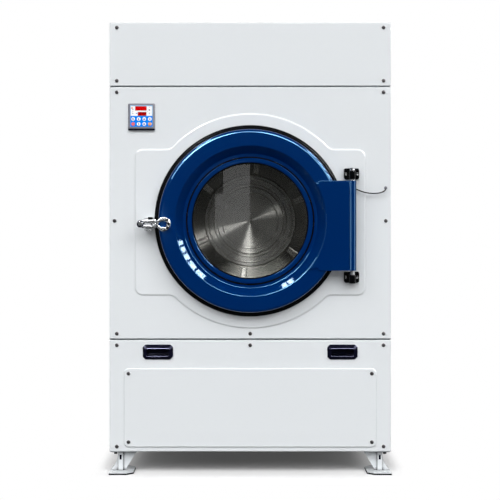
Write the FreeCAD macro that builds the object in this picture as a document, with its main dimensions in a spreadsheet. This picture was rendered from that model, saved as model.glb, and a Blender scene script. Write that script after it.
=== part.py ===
import FreeCAD, Part
import math
import os

import Sketcher

# Industrial tumble dryer. Millimetres, +X to the right, +Y to the back, +Z up.
# The origin is on the floor, at the middle of the whole machine's footprint.
# Depths are counted from the outer face of the front panels, positive to the back.

os.makedirs("parts", exist_ok=True)
doc = FreeCAD.newDocument("tumble_dryer")
Vector = FreeCAD.Vector
Rotation = FreeCAD.Rotation

SIZES = {
    # cabinet and its sheet metal
    "cabinet_width": 1000,
    "cabinet_depth": 1060,
    "cabinet_height": 1525,
    "foot_height": 80,
    "skin": 3,
    "fit": 0.3,
    "seam": 5,
    "lower_panel_height": 396,
    "door_panel_height": 894,
    "panel_return": 17,
    "panel_edge_round": 2.5,
    "post": 40,
    "tube_wall": 3,
    "upright_front": 845,
    "upright_depth": 120,
    "front_sill_setback": 20,
    "mid_rail_height": 47,
    "mid_rail_rise": 12,
    "upper_rail_overlap": 17.5,
    "tab_width": 60,
    "heater_rail_front": 250,
    "heater_rail_rear": 710,
    "base_plate_thickness": 4,
    # screws through the front panels
    "screw_head_radius": 6.5,
    "screw_head_height": 4,
    "screw_rim_height": 1.4,
    "screw_crown_radius": 5,
    "screw_crown_height": 3.2,
    "screw_flat_radius": 2.6,
    "screw_radius": 3,
    "screw_length": 22,
    "screw_inset": 26,
    "screw_margin": 18,
    "side_screw_inset": 18,
    # opening, raised field and door
    "door_height": 900,
    "opening_radius": 300,
    "field_width": 814,
    "field_height": 514,
    "field_drop": 5,
    "field_radius": 379,
    "field_raise": 4,
    "field_corner": 25,
    "field_hollow": 35,
    "field_edge_round": 3,
    "gasket_outer": 340,
    "gasket_inner": 304,
    "gasket_depth": 13.7,
    "gasket_round": 4.5,
    "door_outer": 328,
    "door_depth": 42,
    "door_wall": 4,
    "rim_round": 13,
    "dish_outer": 264,
    "dish_inner": 238,
    "dish_drop": 36,
    "glass_hole": 205,
    "door_flange_inner": 298,
    "glass_radius": 222,
    "glass_thickness": 6,
    "glass_seal_thickness": 2,
    "bead_outer": 222,
    "bead_width": 16,
    "bead_height": 7,
    "bead_round": 3,
    "retainer_outer": 236,
    "retainer_thickness": 3,
    # hinge
    "hinge_reach": 359,
    "hinge_inset": 8,
    "hinge_tube_radius": 14,
    "hinge_pin_radius": 8,
    "hinge_fit": 0.05,
    "leaf_left": 237,
    "leaf_height": 316,
    "leaf_drop": 17,
    "leaf_thickness": 5,
    "leaf_corner": 12,
    "leaf_overlap": 7,
    "bracket_gap": 5,
    "bracket_width": 54,
    "bracket_height": 40,
    "bracket_plate": 8,
    "bracket_corner": 8,
    "bracket_web_width": 22.4,
    "bracket_bolt_spacing": 41,
    "bracket_bolt_radius": 3,
    "bracket_bolt_head": 5,
    "bracket_bolt_head_height": 5,
    "bracket_bolt_rim_height": 4.5,
    "bracket_bolt_crown": 4,
    # latch
    "latch_drop": 11,
    "latch_ring_reach": 303,
    "latch_ring_radius": 25,
    "latch_ring_depth": 8,
    "latch_hole_width": 32,
    "latch_hole_height": 21,
    "latch_pivot_reach": 338,
    "latch_pivot_stand": 6,
    "latch_lug_end": 6,
    "latch_lug_overlap": 10,
    "latch_lug_air": 1,
    "latch_pin_radius": 3,
    "latch_pin_head": 2,
    "latch_pin_head_radius": 4.8,
    "arm_height": 32,
    "arm_thickness": 16,
    "arm_slot": 8.6,
    "arm_slot_start": 7.8,
    "arm_heel": 5,
    "knob_reach": 384,
    "knob_radius": 13,
    "knob_depth": 24,
    "strike_width": 26,
    "strike_gasket_gap": 4,
    "strike_plate": 8,
    "prong_height": 7,
    "prong_reach": 70,
    "prong_gap": 0.4,
    "buffer_height": 20,
    "buffer_gap": 0.4,
    # control unit
    "control_inset": 114,
    "control_height": 1269,
    "control_face": 96,
    "control_corner": 4,
    "bezel_depth": 8,
    "window_width": 80.4,
    "window_height": 76.8,
    "window_rise": 3.5,
    "window_recess": 2,
    "control_body": 90,
    "control_body_depth": 72,
    "key_radius": 7,
    "key_pitch": 19.8,
    "key_row_pitch": 17.8,
    "key_rows_drop": 20,
    "key_proud": 1.4,
    "key_crown_radius": 6,
    "key_crown_height": 0.7,
    "key_travel": 0.8,
    # door switch and its lead
    "switch_left": 344,
    "switch_width": 12,
    "switch_height": 34,
    "switch_depth": 20,
    "switch_rise": 117,
    "lead_radius": 2.2,
    "grommet_inset": 18.5,
    "grommet_radius": 6,
    "grommet_crown_radius": 4.8,
    "grommet_flange": 2,
    "grommet_neck": 4,
    # lower panel and lint drawer
    "cover_margin": 51,
    "cover_height": 280,
    "cover_rise": 16,
    "cover_raise": 5,
    "cover_corner": 18,
    "cover_edge_round": 3.5,
    "cover_screw_inset": 17,
    "cover_screw_margin": 18.5,
    "cover_screw_radius": 2.2,
    "pull_inset": 172,
    "pull_drop": 42,
    "pull_width": 107.6,
    "pull_height": 53,
    "pull_chamfer": 12,
    "pull_proud": 4,
    "pull_lip": 5,
    "pull_mouth_width": 79,
    "pull_mouth_height": 22,
    "pull_funnel": 9,
    "pull_depth": 42,
    "pull_wall": 4,
    "lint_margin": 120,
    "lint_length": 500,
    "lint_height": 190,
    "lint_wall": 3,
    "lint_screen_rise": 90,
    "lint_screen_thickness": 1.5,
    "drawer_rail_height": 16,
    "drawer_rail_width": 40,
    "drawer_rail_front": 62,
    "drawer_rail_length": 460,
    # drum and its drive
    "collar_wall": 2.5,
    "collar_depth": 113,
    "collar_flange": 40,
    "drum_mouth_gap": 5.5,
    "drum_radius": 430,
    "drum_wall": 3,
    "drum_front": 104,
    "drum_depth": 696,
    "disc_radius": 190,
    "disc_raise": 12,
    "disc_slope": 6,
    "lifter_count": 6,
    "lifter_width": 70,
    "lifter_height": 70,
    "lifter_margin": 20,
    "lifter_top_width": 16,
    "lifter_round": 5,
    "lifter_wall": 2,
    "shaft_radius": 35,
    "shaft_flange_radius": 110,
    "shaft_flange": 15,
    "shaft_tail": 10,
    "bearing_outer": 62,
    "bearing_width": 40,
    "bearing_setback": 50,
    "bearing_step": 70,
    "housing_width": 160,
    "beam_height": 60,
    "pulley_radius": 250,
    "pulley_rim": 14,
    "pulley_web": 10,
    "pulley_hub": 60,
    "pulley_width": 36,
    "pulley_gap": 25,
    "motor_inset": 250,
    "motor_height": 330,
    "motor_radius": 90,
    "motor_length": 250,
    "motor_foot_width": 120,
    "motor_foot_front": 30,
    "motor_foot_rear": 90,
    "motor_pulley_air": 1.2,
    "motor_shaft_radius": 14,
    "motor_shaft_grip": 60,
    "motor_pulley_radius": 70,
    "belt_thickness": 8,
    "belt_width": 30,
    "belt_gap": 0.4,
    # heater
    "heater_width": 600,
    "heater_height": 160,
    "heater_wall": 3,
    "rod_count": 8,
    "rod_radius": 8,
    # fan and exhaust
    "fan_inset": 350,
    "fan_depth": 750,
    "fan_height": 300,
    "scroll_radius": 165,
    "scroll_width": 200,
    "scroll_wall": 3,
    "outlet_end": 1010,
    "fan_inlet_radius": 95,
    "impeller_radius": 140,
    "impeller_gap": 10,
    "impeller_disc": 4,
    "impeller_width": 150,
    "blade_count": 12,
    "blade_length": 50,
    "blade_thickness": 4,
    "fan_shaft_radius": 12,
    "fan_shaft_grip": 60,
    "fan_shaft_air": 1.2,
    "fan_hub_radius": 24,
    "fan_hub_length": 30,
    "fan_motor_radius": 75,
    "fan_motor_length": 170,
    "fan_foot_length": 100,
    "fan_foot_left": 30,
    "fan_foot_right": 90,
    "spigot_radius": 100,
    "spigot_wall": 3,
    "spigot_shoulder": 2,
    "spigot_reach": 80,
    "spigot_flange": 3,
    "spigot_flange_margin": 6,
    "gland_inset": 150,
    "gland_height": 1450,
    "gland_radius": 14,
    "gland_bore": 7,
    "gland_neck": 10,
    "gland_length": 22,
    "gland_nut_length": 13,
    "louvre_count": 6,
    "louvre_width": 420,
    "louvre_height": 10,
    "louvre_pitch": 24,
    "louvre_drop": 70,
    # feet
    "foot_width": 84,
    "foot_length": 100,
    "foot_setback": 20,
    "foot_plate": 8,
    "foot_plate_lead": 38,
    "foot_corner": 24,
    "foot_top_width": 94,
    "foot_top_plate": 6,
    "foot_web": 6,
    "foot_web_setback": 14,
    "foot_strip_inset": 29,
    "foot_strip_width": 16,
    "foot_strip_depth": 10,
    "foot_slot_width": 7.6,
    "foot_slot_height": 17,
    "foot_slot_drop": 10,
    "foot_flank": 27,
    "foot_flank_radius": 84,
    "foot_toe": 52,
    "anchor_radius": 7,
    "anchor_inset": 14,
    "anchor_setback": 42,
    "foot_bolt_radius": 5,
    "foot_bolt_head": 8,
    "foot_bolt_head_height": 6,
    "foot_bolt_length": 30,
    "foot_bolt_inset": 22,
    "foot_bolt_first": 42,
    "foot_bolt_step": 32,
}

sheet = doc.addObject("Spreadsheet::Sheet", "Sizes")
for row, (word, number) in enumerate(SIZES.items(), start=1):
    sheet.set(f"A{row}", word)
    sheet.set(f"B{row}", str(number))
    sheet.setAlias(f"B{row}", word)
doc.recompute()


class Length:
    """A length that keeps both its number and the sheet expression that it comes from."""

    def __init__(self, text, number):
        self.text = text
        self.number = number

    def __add__(self, other):
        other = length(other)
        return Length(f"({self.text} + {other.text})", self.number + other.number)

    def __sub__(self, other):
        other = length(other)
        return Length(f"({self.text} - {other.text})", self.number - other.number)

    def __mul__(self, other):
        other = length(other)
        return Length(f"({self.text} * {other.text})", self.number * other.number)

    def __truediv__(self, other):
        other = length(other)
        return Length(f"({self.text} / {other.text})", self.number / other.number)

    def __neg__(self):
        return Length(f"(0 - {self.text})", -self.number)

    def __rmul__(self, other):
        return length(other) * self


def length(value):
    if isinstance(value, Length):
        return value
    return Length(f"({value})", value)


def root(value):
    return Length(f"sqrt({value.text})", math.sqrt(value.number))


class Sheet:
    """The sheet's sizes by name."""

    def __getattr__(self, word):
        return Length(f"Sizes.{word}", float(sheet.get(word)))


size = Sheet()

# Places that several pieces share
half_width = size.cabinet_width / 2
lower_low = size.foot_height
lower_high = lower_low + size.lower_panel_height
door_panel_low = lower_high + size.seam
door_panel_high = door_panel_low + size.door_panel_height
header_low = door_panel_high + size.seam
top = size.foot_height + size.cabinet_height

post_outer = half_width - size.skin - size.fit
post_inner = post_outer - size.post
frame_top = top - size.skin - size.fit
rear_inner = size.cabinet_depth - size.skin

field_face = -size.field_raise
door_back = field_face - size.fit - size.gasket_depth
door_front = door_back - size.door_depth
bead_base = door_front + size.dish_drop
glass_front = bead_base + size.door_wall + size.glass_seal_thickness
glass_back = glass_front + size.glass_thickness

hinge_depth = door_front + size.hinge_inset
leaf_low = size.door_height - size.leaf_drop - size.leaf_height / 2
leaf_high = leaf_low + size.leaf_height

latch_height = size.door_height - size.latch_drop
latch_depth = door_front - size.latch_pivot_stand
latch_front = latch_depth - size.knob_depth / 2

# The round end of the latch arm stands furthest forward, the exhaust spigot furthest back.
face_y = (-latch_front - size.cabinet_depth - size.spigot_reach) / 2

screw_side = half_width - size.screw_inset
screw_tip = size.screw_length - size.screw_head_height
header_screws = [
    (side * screw_side, height)
    for side in (-1, 1)
    for height in (header_low + size.screw_margin, top - size.screw_margin)
]
door_panel_screws = [
    (side * screw_side, height)
    for side in (-1, 1)
    for height in (door_panel_low + size.screw_margin, door_panel_high - size.screw_margin)
]
door_panel_screws += [
    (side * (half_width - size.side_screw_inset), size.door_height) for side in (-1, 1)
]
door_panel_screws.append((length(0), door_panel_low + size.screw_margin))
lower_screws = [
    (side * screw_side, height)
    for side in (-1, 1)
    for height in (lower_low + size.screw_margin, lower_high - size.screw_margin)
]
lower_screws.append((length(0), lower_high - size.screw_margin))

drum_back = size.drum_front + size.drum_depth
bearing_front = drum_back + size.bearing_setback
bearing_rear = bearing_front + size.bearing_step
half_housing = size.housing_width / 2
pulley_front = bearing_rear + size.bearing_width + size.pulley_gap
pulley_back = pulley_front + size.pulley_width
base_top = size.foot_height + size.post + size.base_plate_thickness
control_x = size.control_inset - half_width
grommet_x = half_width - size.grommet_inset
gland_x = half_width - size.gland_inset
motor_x = half_width - size.motor_inset
fan_x = size.fan_inset - half_width
scroll_left = fan_x - size.scroll_width / 2
scroll_right = fan_x + size.scroll_width / 2
scroll_low = size.fan_height - size.scroll_radius
spigot_height = scroll_low + size.scroll_width / 2

# A hole's cut starts one sheet in front of the sheet and ends one behind it.
through_skin = size.skin * 3
kept = []


def keep(piece, label):
    piece.Label = label
    kept.append(piece)
    return piece


def place(piece, x, depth, z):
    piece.setExpression("Placement.Base.x", length(x).text)
    piece.setExpression("Placement.Base.y", (face_y + depth).text)
    piece.setExpression("Placement.Base.z", length(z).text)


def box(name, x, depth, z):
    """A block between two values along each axis."""
    piece = doc.addObject("Part::Box", name)
    for side, (low, high) in zip(("Length", "Width", "Height"), (x, depth, z)):
        piece.setExpression(side, (length(high) - low).text)
    place(piece, x[0], depth[0], z[0])
    return piece


def tube(name, run, x, depth, z):
    """A length of square tube, hollow along the axis run."""
    wall = size.tube_wall
    inside = {
        axis: (low, high) if axis == run else (low + wall, high - wall)
        for axis, (low, high) in (("x", x), ("depth", depth), ("z", z))
    }
    hollow = box(name + "_hollow", inside["x"], inside["depth"], inside["z"])
    return cut(name, box(name + "_block", x, depth, z), [hollow])


AXIS_TURN = {
    "x": Rotation(Vector(0, 1, 0), 90),
    "y": Rotation(Vector(1, 0, 0), -90),
    "z": Rotation(),
}


def rod(name, axis, radius, x, depth, z, run):
    """A round bar that starts at a point and runs along one axis."""
    piece = doc.addObject("Part::Cylinder", name)
    piece.Placement = FreeCAD.Placement(Vector(), AXIS_TURN[axis])
    piece.setExpression("Radius", length(radius).text)
    piece.setExpression("Height", length(run).text)
    place(piece, x, depth, z)
    return piece


def group(name, pieces):
    whole = doc.addObject("Part::Compound", name)
    whole.Links = pieces
    return whole


def join(name, pieces):
    whole = doc.addObject("Part::MultiFuse", name)
    whole.Shapes = pieces
    whole.Refine = True
    return whole


def cut(name, base, tools):
    whole = doc.addObject("Part::Cut", name)
    whole.Base = base
    whole.Tool = tools[0] if len(tools) == 1 else group(name + "_tools", tools)
    return whole


def mirrored(side, low, high):
    """A span along X on the right side, or its mirror image on the left."""
    return (low, high) if side > 0 else (-high, -low)


def new_body(name):
    return doc.addObject("PartDesign::Body", name)


def new_sketch(body, role, depth=None):
    """A sketch on one of the body's own planes; depth moves one on the XZ plane back."""
    sketch = body.newObject("Sketcher::SketchObject", body.Name + "_sketch")
    plane = next(item for item in body.Origin.OriginFeatures if item.Role == role)
    sketch.AttachmentSupport = (plane, [""])
    sketch.MapMode = "FlatFace"
    if depth is not None:
        sketch.setExpression("AttachmentOffset.Base.z", (-length(depth)).text)
    return sketch


def pin(sketch, kind, item, point, value):
    """Binds one coordinate of a sketch point to the sheet."""
    if not isinstance(value, Length):
        axis_line = -2 if kind == "DistanceX" else -1
        sketch.addConstraint(Sketcher.Constraint("PointOnObject", item, point, axis_line))
        return
    index = sketch.addConstraint(Sketcher.Constraint(kind, -1, 1, item, point, value.number))
    sketch.setExpression(f"Constraints[{index}]", value.text)


def outline(sketch, points):
    """A closed outline of straight runs; a plain 0 puts a corner on a sketch axis."""
    corners = [Vector(length(u).number, length(v).number, 0) for u, v in points]
    first = sketch.GeometryCount
    count = len(corners)
    for index, corner in enumerate(corners):
        sketch.addGeometry(Part.LineSegment(corner, corners[(index + 1) % count]), False)
    for index in range(count):
        following = first + (index + 1) % count
        sketch.addConstraint(Sketcher.Constraint("Coincident", first + index, 2, following, 1))
    for index, (u, v) in enumerate(points):
        pin(sketch, "DistanceX", first + index, 1, u)
        pin(sketch, "DistanceY", first + index, 1, v)


def rectangle(sketch, x, z):
    outline(sketch, [(x[0], z[0]), (x[1], z[0]), (x[1], z[1]), (x[0], z[1])])


def circle(sketch, x, z, radius):
    centre = Vector(length(x).number, length(z).number, 0)
    item = sketch.addGeometry(Part.Circle(centre, Vector(0, 0, 1), radius.number), False)
    pin(sketch, "DistanceX", item, 3, x)
    pin(sketch, "DistanceY", item, 3, z)
    index = sketch.addConstraint(Sketcher.Constraint("Radius", item, radius.number))
    sketch.setExpression(f"Constraints[{index}]", radius.text)


def pad(body, sketch, run):
    """Thickens a sketch on the XZ plane towards the back, or one on the XY plane downwards."""
    feature = body.newObject("PartDesign::Pad", body.Name + "_pad")
    feature.Profile = sketch
    feature.Reversed = True
    feature.setExpression("Length", length(run).text)


def pocket(body, sketch, run):
    """Cuts a sketch on the XZ plane towards the back, and makes sure that it cuts."""
    doc.recompute()
    before = body.Shape.Volume
    feature = body.newObject("PartDesign::Pocket", body.Name + "_pocket")
    feature.Profile = sketch
    feature.setExpression("Length", length(run).text)
    doc.recompute()
    if body.Shape.Volume >= before:
        raise ValueError(f"{body.Name}: a pocket cuts nothing")


def soften(body, radius, pick):
    """Rounds the edges that pick chooses."""
    doc.recompute()
    base = body.Tip
    edges = [f"Edge{n}" for n, edge in enumerate(base.Shape.Edges, start=1) if pick(edge)]
    feature = body.newObject("PartDesign::Fillet", body.Name + "_round")
    feature.Base = (base, edges)
    feature.setExpression("Radius", length(radius).text)


def turned(name, axis, points):
    """A turned body. Points are radius and distance along the axis (the other way for x)."""
    body = new_body(name)
    sketch = new_sketch(body, "XZ_Plane" if axis == "z" else "XY_Plane")
    outline(sketch, points)
    feature = body.newObject("PartDesign::Revolution", name + "_turn")
    feature.Profile = sketch
    feature.ReferenceAxis = (sketch, ["H_Axis" if axis == "x" else "V_Axis"])
    feature.Angle = 360
    return body


def ring_points(inner, outer, low, high):
    return [(inner, low), (outer, low), (outer, high), (inner, high)]


def near(value, target):
    return abs(value - length(target).number) < 0.01


def is_circle_at(edge, radius, depth):
    """True for a round edge of that radius in that plane of a body turned about Y."""
    if not hasattr(edge.Curve, "Radius"):
        return False
    middle = edge.BoundBox.Center
    return near(edge.Curve.Radius, radius) and near(middle.y, depth)


def runs_along(edge, direction):
    if not hasattr(edge.Curve, "Direction"):
        return False
    return abs(getattr(edge.Curve.Direction, direction)) > 0.999


def drill(body, centres, radius, depth, run):
    sketch = new_sketch(body, "XZ_Plane", depth)
    for x, z in centres:
        circle(sketch, x, z, radius)
    pocket(body, sketch, run)


# Front panels

def front_pan(name, low, high, closed_top):
    """A front panel: its face, side returns and, on the header, a top return."""
    body = new_body(name)
    face = new_sketch(body, "XZ_Plane")
    rectangle(face, (-half_width, half_width), (low, high))
    pad(body, face, size.skin)
    returns = new_sketch(body, "XZ_Plane")
    inner = half_width - size.skin
    if closed_top:
        lip = high - size.skin
        outline(returns, [
            (-half_width, low), (-inner, low), (-inner, lip), (inner, lip),
            (inner, low), (half_width, low), (half_width, high), (-half_width, high),
        ])
    else:
        rectangle(returns, (-half_width, -inner), (low, high))
        rectangle(returns, (inner, half_width), (low, high))
    pad(body, returns, size.panel_return)

    def on_rim(edge):
        span = edge.BoundBox
        flat = near(span.YMin, 0) and near(span.YMax, 0)
        upright = near(span.XMin, span.XMax) and near(abs(span.XMin), half_width)
        level = near(span.ZMin, span.ZMax) and (near(span.ZMin, low) or near(span.ZMin, high))
        return flat and (upright or level)

    soften(body, size.panel_edge_round, on_rim)
    return body


def finish_body(body, label):
    place(body, 0, 0, 0)
    return keep(body, label)


screw_hole = size.screw_radius + size.fit

header_panel = front_pan("header", header_low, top, True)
drill(header_panel, header_screws, screw_hole, -size.skin, through_skin)
finish_body(header_panel, "header_panel")

door_panel = front_pan("door_side", door_panel_low, door_panel_high, False)
field_middle = size.door_height - size.field_drop
field_sides = (-size.field_width / 2, size.field_width / 2)
field_span = (field_middle - size.field_height / 2, field_middle + size.field_height / 2)
field = new_sketch(door_panel, "XZ_Plane", field_face)
rectangle(field, field_sides, field_span)
pad(door_panel, field, size.field_raise + size.skin)
round_field = new_sketch(door_panel, "XZ_Plane", field_face)
circle(round_field, 0, size.door_height, size.field_radius)
pad(door_panel, round_field, size.field_raise + size.skin)


def field_edge(edge):
    """An edge of the raised field that runs from front to back."""
    return runs_along(edge, "y") and near(edge.BoundBox.YMin, field_face)


def outer_corner(edge):
    middle = edge.BoundBox.Center
    return field_edge(edge) and near(abs(middle.x), size.field_width / 2)


def inner_corner(edge):
    middle = edge.BoundBox.Center
    return field_edge(edge) and abs(middle.x) < (size.field_width / 2).number - 1


def field_front(edge):
    span = edge.BoundBox
    return near(span.YMin, field_face) and near(span.YMax, field_face)


soften(door_panel, size.field_corner, outer_corner)
soften(door_panel, size.field_hollow, inner_corner)
soften(door_panel, size.field_edge_round, field_front)
behind_field = size.field_raise + size.skin * 2
drill(door_panel, [(0, size.door_height)], size.opening_radius, field_face * 2, behind_field * 2)
drill(door_panel, door_panel_screws, screw_hole, -size.skin, through_skin)
control_hole = new_sketch(door_panel, "XZ_Plane", -size.skin)
control_half = size.control_body / 2 + size.fit
rectangle(
    control_hole,
    (control_x - control_half, control_x + control_half),
    (size.control_height - control_half, size.control_height + control_half),
)
pocket(door_panel, control_hole, through_skin)
lead_height = size.door_height + size.switch_rise
drill(door_panel, [(grommet_x, lead_height)], size.grommet_neck + size.fit,
      -size.skin, through_skin)
bracket_low = leaf_low - size.bracket_gap - size.bracket_height / 2
bracket_high = leaf_high + size.bracket_gap + size.bracket_height / 2
bracket_bolts = [
    (size.hinge_reach + side * size.bracket_bolt_spacing / 2, middle)
    for middle in (bracket_low, bracket_high)
    for side in (-1, 1)
]
drill(door_panel, bracket_bolts, size.bracket_bolt_radius + size.fit, field_face * 2, behind_field * 2)
finish_body(door_panel, "door_panel")

lower_panel = front_pan("lower", lower_low, lower_high, False)
drill(lower_panel, lower_screws, screw_hole, -size.skin, through_skin)
cover_low = lower_low + size.cover_rise
cover_high = cover_low + size.cover_height
cover_side = half_width - size.cover_margin
cover_screws = [
    (side * (cover_side - size.cover_screw_inset), height)
    for side in (-1, 1)
    for height in (cover_low + size.cover_screw_margin, cover_high - size.cover_screw_margin)
]
cover_hole = size.cover_screw_radius + size.fit
drill(lower_panel, cover_screws, cover_hole, -size.skin, through_skin)
pull_height = lower_high - size.pull_drop
pull_x = half_width - size.pull_inset
pull_cup_x = size.pull_mouth_width / 2 + size.pull_wall
pull_cup_z = size.pull_mouth_height / 2 + size.pull_wall
pull_holes = new_sketch(lower_panel, "XZ_Plane", -size.skin)
for side in (-1, 1):
    pull_middle = side * pull_x
    rectangle(
        pull_holes,
        (pull_middle - pull_cup_x - size.fit, pull_middle + pull_cup_x + size.fit),
        (pull_height - pull_cup_z - size.fit, pull_height + pull_cup_z + size.fit),
    )
pocket(lower_panel, pull_holes, through_skin)
finish_body(lower_panel, "lower_panel")

service_cover = new_body("cover")
cover_face = new_sketch(service_cover, "XZ_Plane", -size.cover_raise)
rectangle(cover_face, (-cover_side, cover_side), (cover_low, cover_high))
pad(service_cover, cover_face, size.cover_raise)
soften(service_cover, size.cover_corner, lambda edge: runs_along(edge, "y"))
soften(service_cover, size.cover_edge_round, lambda edge: near(edge.BoundBox.YMax, -size.cover_raise))
drill(service_cover, cover_screws, cover_hole, size.cover_raise * -2, size.cover_raise * 3)
finish_body(service_cover, "service_cover")


def screw(name, x, z, seat, radius, run):
    """A domed screw whose head rests on a face at the depth seat."""
    head = size.screw_head_radius
    body = turned(name, "y", [
        (0, run), (radius, run), (radius, 0), (head, 0), (head, -size.screw_rim_height),
        (size.screw_crown_radius, -size.screw_crown_height),
        (size.screw_flat_radius, -size.screw_head_height), (0, -size.screw_head_height),
    ])
    place(body, x, seat, z)
    return body


keep(group("panel_screw_set", [
    screw(f"panel_screw_{number}", x, z, 0, size.screw_radius, screw_tip)
    for number, (x, z) in enumerate(header_screws + door_panel_screws)
]), "panel_screws")
lower_set = [
    screw(f"lower_screw_{number}", x, z, 0, size.screw_radius, screw_tip)
    for number, (x, z) in enumerate(lower_screws)
]
lower_set += [
    screw(f"cover_screw_{number}", x, z, -size.cover_raise, size.cover_screw_radius,
          size.cover_raise + size.skin * 2)
    for number, (x, z) in enumerate(cover_screws)
]
keep(group("lower_screw_set", lower_set), "lower_screws")


# Chassis

def chassis():
    uprights = []
    across = (-post_inner, post_inner)
    front = (size.skin, size.skin + size.post)
    rear = (rear_inner - size.post, rear_inner)
    between = (front[1], rear[0])
    base = (size.foot_height, size.foot_height + size.post)
    crown = (frame_top - size.post, frame_top)
    mid_low = door_panel_low + size.screw_margin + size.mid_rail_rise - size.mid_rail_height
    mid_rail = (mid_low, mid_low + size.mid_rail_height)
    upper_low = door_panel_high - size.upper_rail_overlap
    for side, word in ((-1, "left"), (1, "right")):
        x = mirrored(side, post_inner, post_outer)
        holes = [
            rod(f"{word}_post_hole_{number}", "y", screw_hole, hole_x, 0, hole_z,
                screw_tip + size.skin)
            for number, (hole_x, hole_z) in enumerate(header_screws + door_panel_screws + lower_screws)
            if hole_x.number * side > 0
        ]
        post = tube(f"{word}_front_blank", "z", x, front, (size.foot_height, frame_top))
        uprights.append(cut(f"{word}_front_post", post, holes))
        uprights.append(tube(f"{word}_rear_post", "z", x, rear, (size.foot_height, frame_top)))
        upright = (size.upright_front, size.upright_front + size.upright_depth)
        uprights.append(tube(f"{word}_upright", "z", x, upright, (base[1], crown[0])))
        sill = tube(f"{word}_sill_blank", "depth", x, between, base)
        sill_holes = [
            rod(f"{word}_sill_hole_{number}", "z", size.foot_bolt_radius + size.fit,
                side * foot_bolt_x, depth, size.foot_height, size.foot_bolt_length + size.fit)
            for number, depth in enumerate(foot_bolt_depths)
        ]
        uprights.append(cut(f"{word}_sill", sill, sill_holes))
        uprights.append(tube(f"{word}_top_rail", "depth", x, between, crown))
    front_sill = (size.front_sill_setback, size.front_sill_setback + size.post)
    uprights.append(tube("front_sill", "x", across, front_sill, base))
    uprights.append(tube("rear_sill", "x", across, rear, base))
    mid = tube("front_mid_blank", "x", across, front, mid_rail)
    mid_hole = rod("front_mid_hole", "y", screw_hole, 0, 0, door_panel_low + size.screw_margin,
                   screw_tip + size.skin)
    uprights.append(cut("front_mid_rail", mid, [mid_hole]))
    tab_x = (-size.tab_width / 2, size.tab_width / 2)
    tab_low = lower_high - size.screw_margin * 2
    tab = tube("middle_tab_blank", "x", tab_x, front, (tab_low, mid_low))
    tab_hole = rod("middle_tab_hole", "y", screw_hole, 0, 0, lower_high - size.screw_margin,
                   screw_tip + size.skin)
    uprights.append(cut("middle_tab", tab, [tab_hole]))
    uprights.append(tube("front_upper_rail", "x", across, front, (upper_low, upper_low + size.post)))
    uprights.append(tube("front_top_rail", "x", across, front, crown))
    uprights.append(tube("rear_top_rail", "x", across, rear, crown))
    for word, start in (("front", size.heater_rail_front), ("rear", size.heater_rail_rear)):
        uprights.append(tube(f"{word}_heater_rail", "x", across, (start, start + size.post), crown))
    beam_high = size.door_height - half_housing
    for word, start in (("front", bearing_front), ("rear", bearing_rear)):
        uprights.append(tube(f"{word}_bearing_beam", "x", across, (start, start + size.bearing_width),
                             (beam_high - size.beam_height, beam_high)))
    return group("chassis_set", uprights)


foot_bolt_reach = [
    size.foot_setback + size.foot_bolt_first,
    size.foot_setback + size.foot_bolt_first + size.foot_bolt_step,
]
foot_bolt_depths = foot_bolt_reach + [size.cabinet_depth - depth for depth in foot_bolt_reach]
foot_bolt_x = post_outer - size.foot_bolt_inset + size.skin
keep(chassis(), "chassis_frame")

sill_depths = (size.front_sill_setback, rear_inner)
base_sheet = box("base_sheet", (-post_inner + size.fit, post_inner - size.fit), sill_depths,
                 (base_top - size.base_plate_thickness, base_top))
lint_half = half_width - size.lint_margin
rail_depths = (size.drawer_rail_front, size.drawer_rail_front + size.drawer_rail_length)
drawer_rails = [
    box(f"{word}_drawer_rail", mirrored(side, lint_half - size.drawer_rail_width, lint_half),
        rail_depths, (base_top, base_top + size.drawer_rail_height))
    for side, word in ((-1, "left"), (1, "right"))
]
keep(join("base_weldment", [base_sheet] + drawer_rails), "base_plate")

panel_depths = (size.panel_return + size.fit, rear_inner)
side_z = (size.foot_height, top - size.skin - size.fit)
keep(group("side_set", [
    box(f"{word}_side", mirrored(side, half_width - size.skin, half_width), panel_depths, side_z)
    for side, word in ((-1, "left"), (1, "right"))
]), "side_panels")
keep(box("top_sheet", (-half_width, half_width), panel_depths, (top - size.skin, top)), "top_panel")

rear_sheet = new_body("rear_sheet")
rear_face = new_sketch(rear_sheet, "XZ_Plane", rear_inner)
rectangle(rear_face, (-half_width, half_width), (size.foot_height, top))
pad(rear_sheet, rear_face, size.skin)
before_rear = rear_inner - size.skin
spigot_neck = size.spigot_radius + size.spigot_shoulder
drill(rear_sheet, [(fan_x, spigot_height)], spigot_neck + size.fit, before_rear, through_skin)
drill(rear_sheet, [(gland_x, size.gland_height)], size.gland_neck + size.fit,
      before_rear, through_skin)
louvres = new_sketch(rear_sheet, "XZ_Plane", before_rear)
for number in range(int(SIZES["louvre_count"])):
    louvre_top = top - size.louvre_drop - number * size.louvre_pitch
    rectangle(louvres, (-size.louvre_width / 2, size.louvre_width / 2),
              (louvre_top - size.louvre_height, louvre_top))
pocket(rear_sheet, louvres, through_skin)
finish_body(rear_sheet, "rear_panel")


# Door

def on_door_axis(body, label):
    place(body, 0, 0, size.door_height)
    return keep(body, label)


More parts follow.
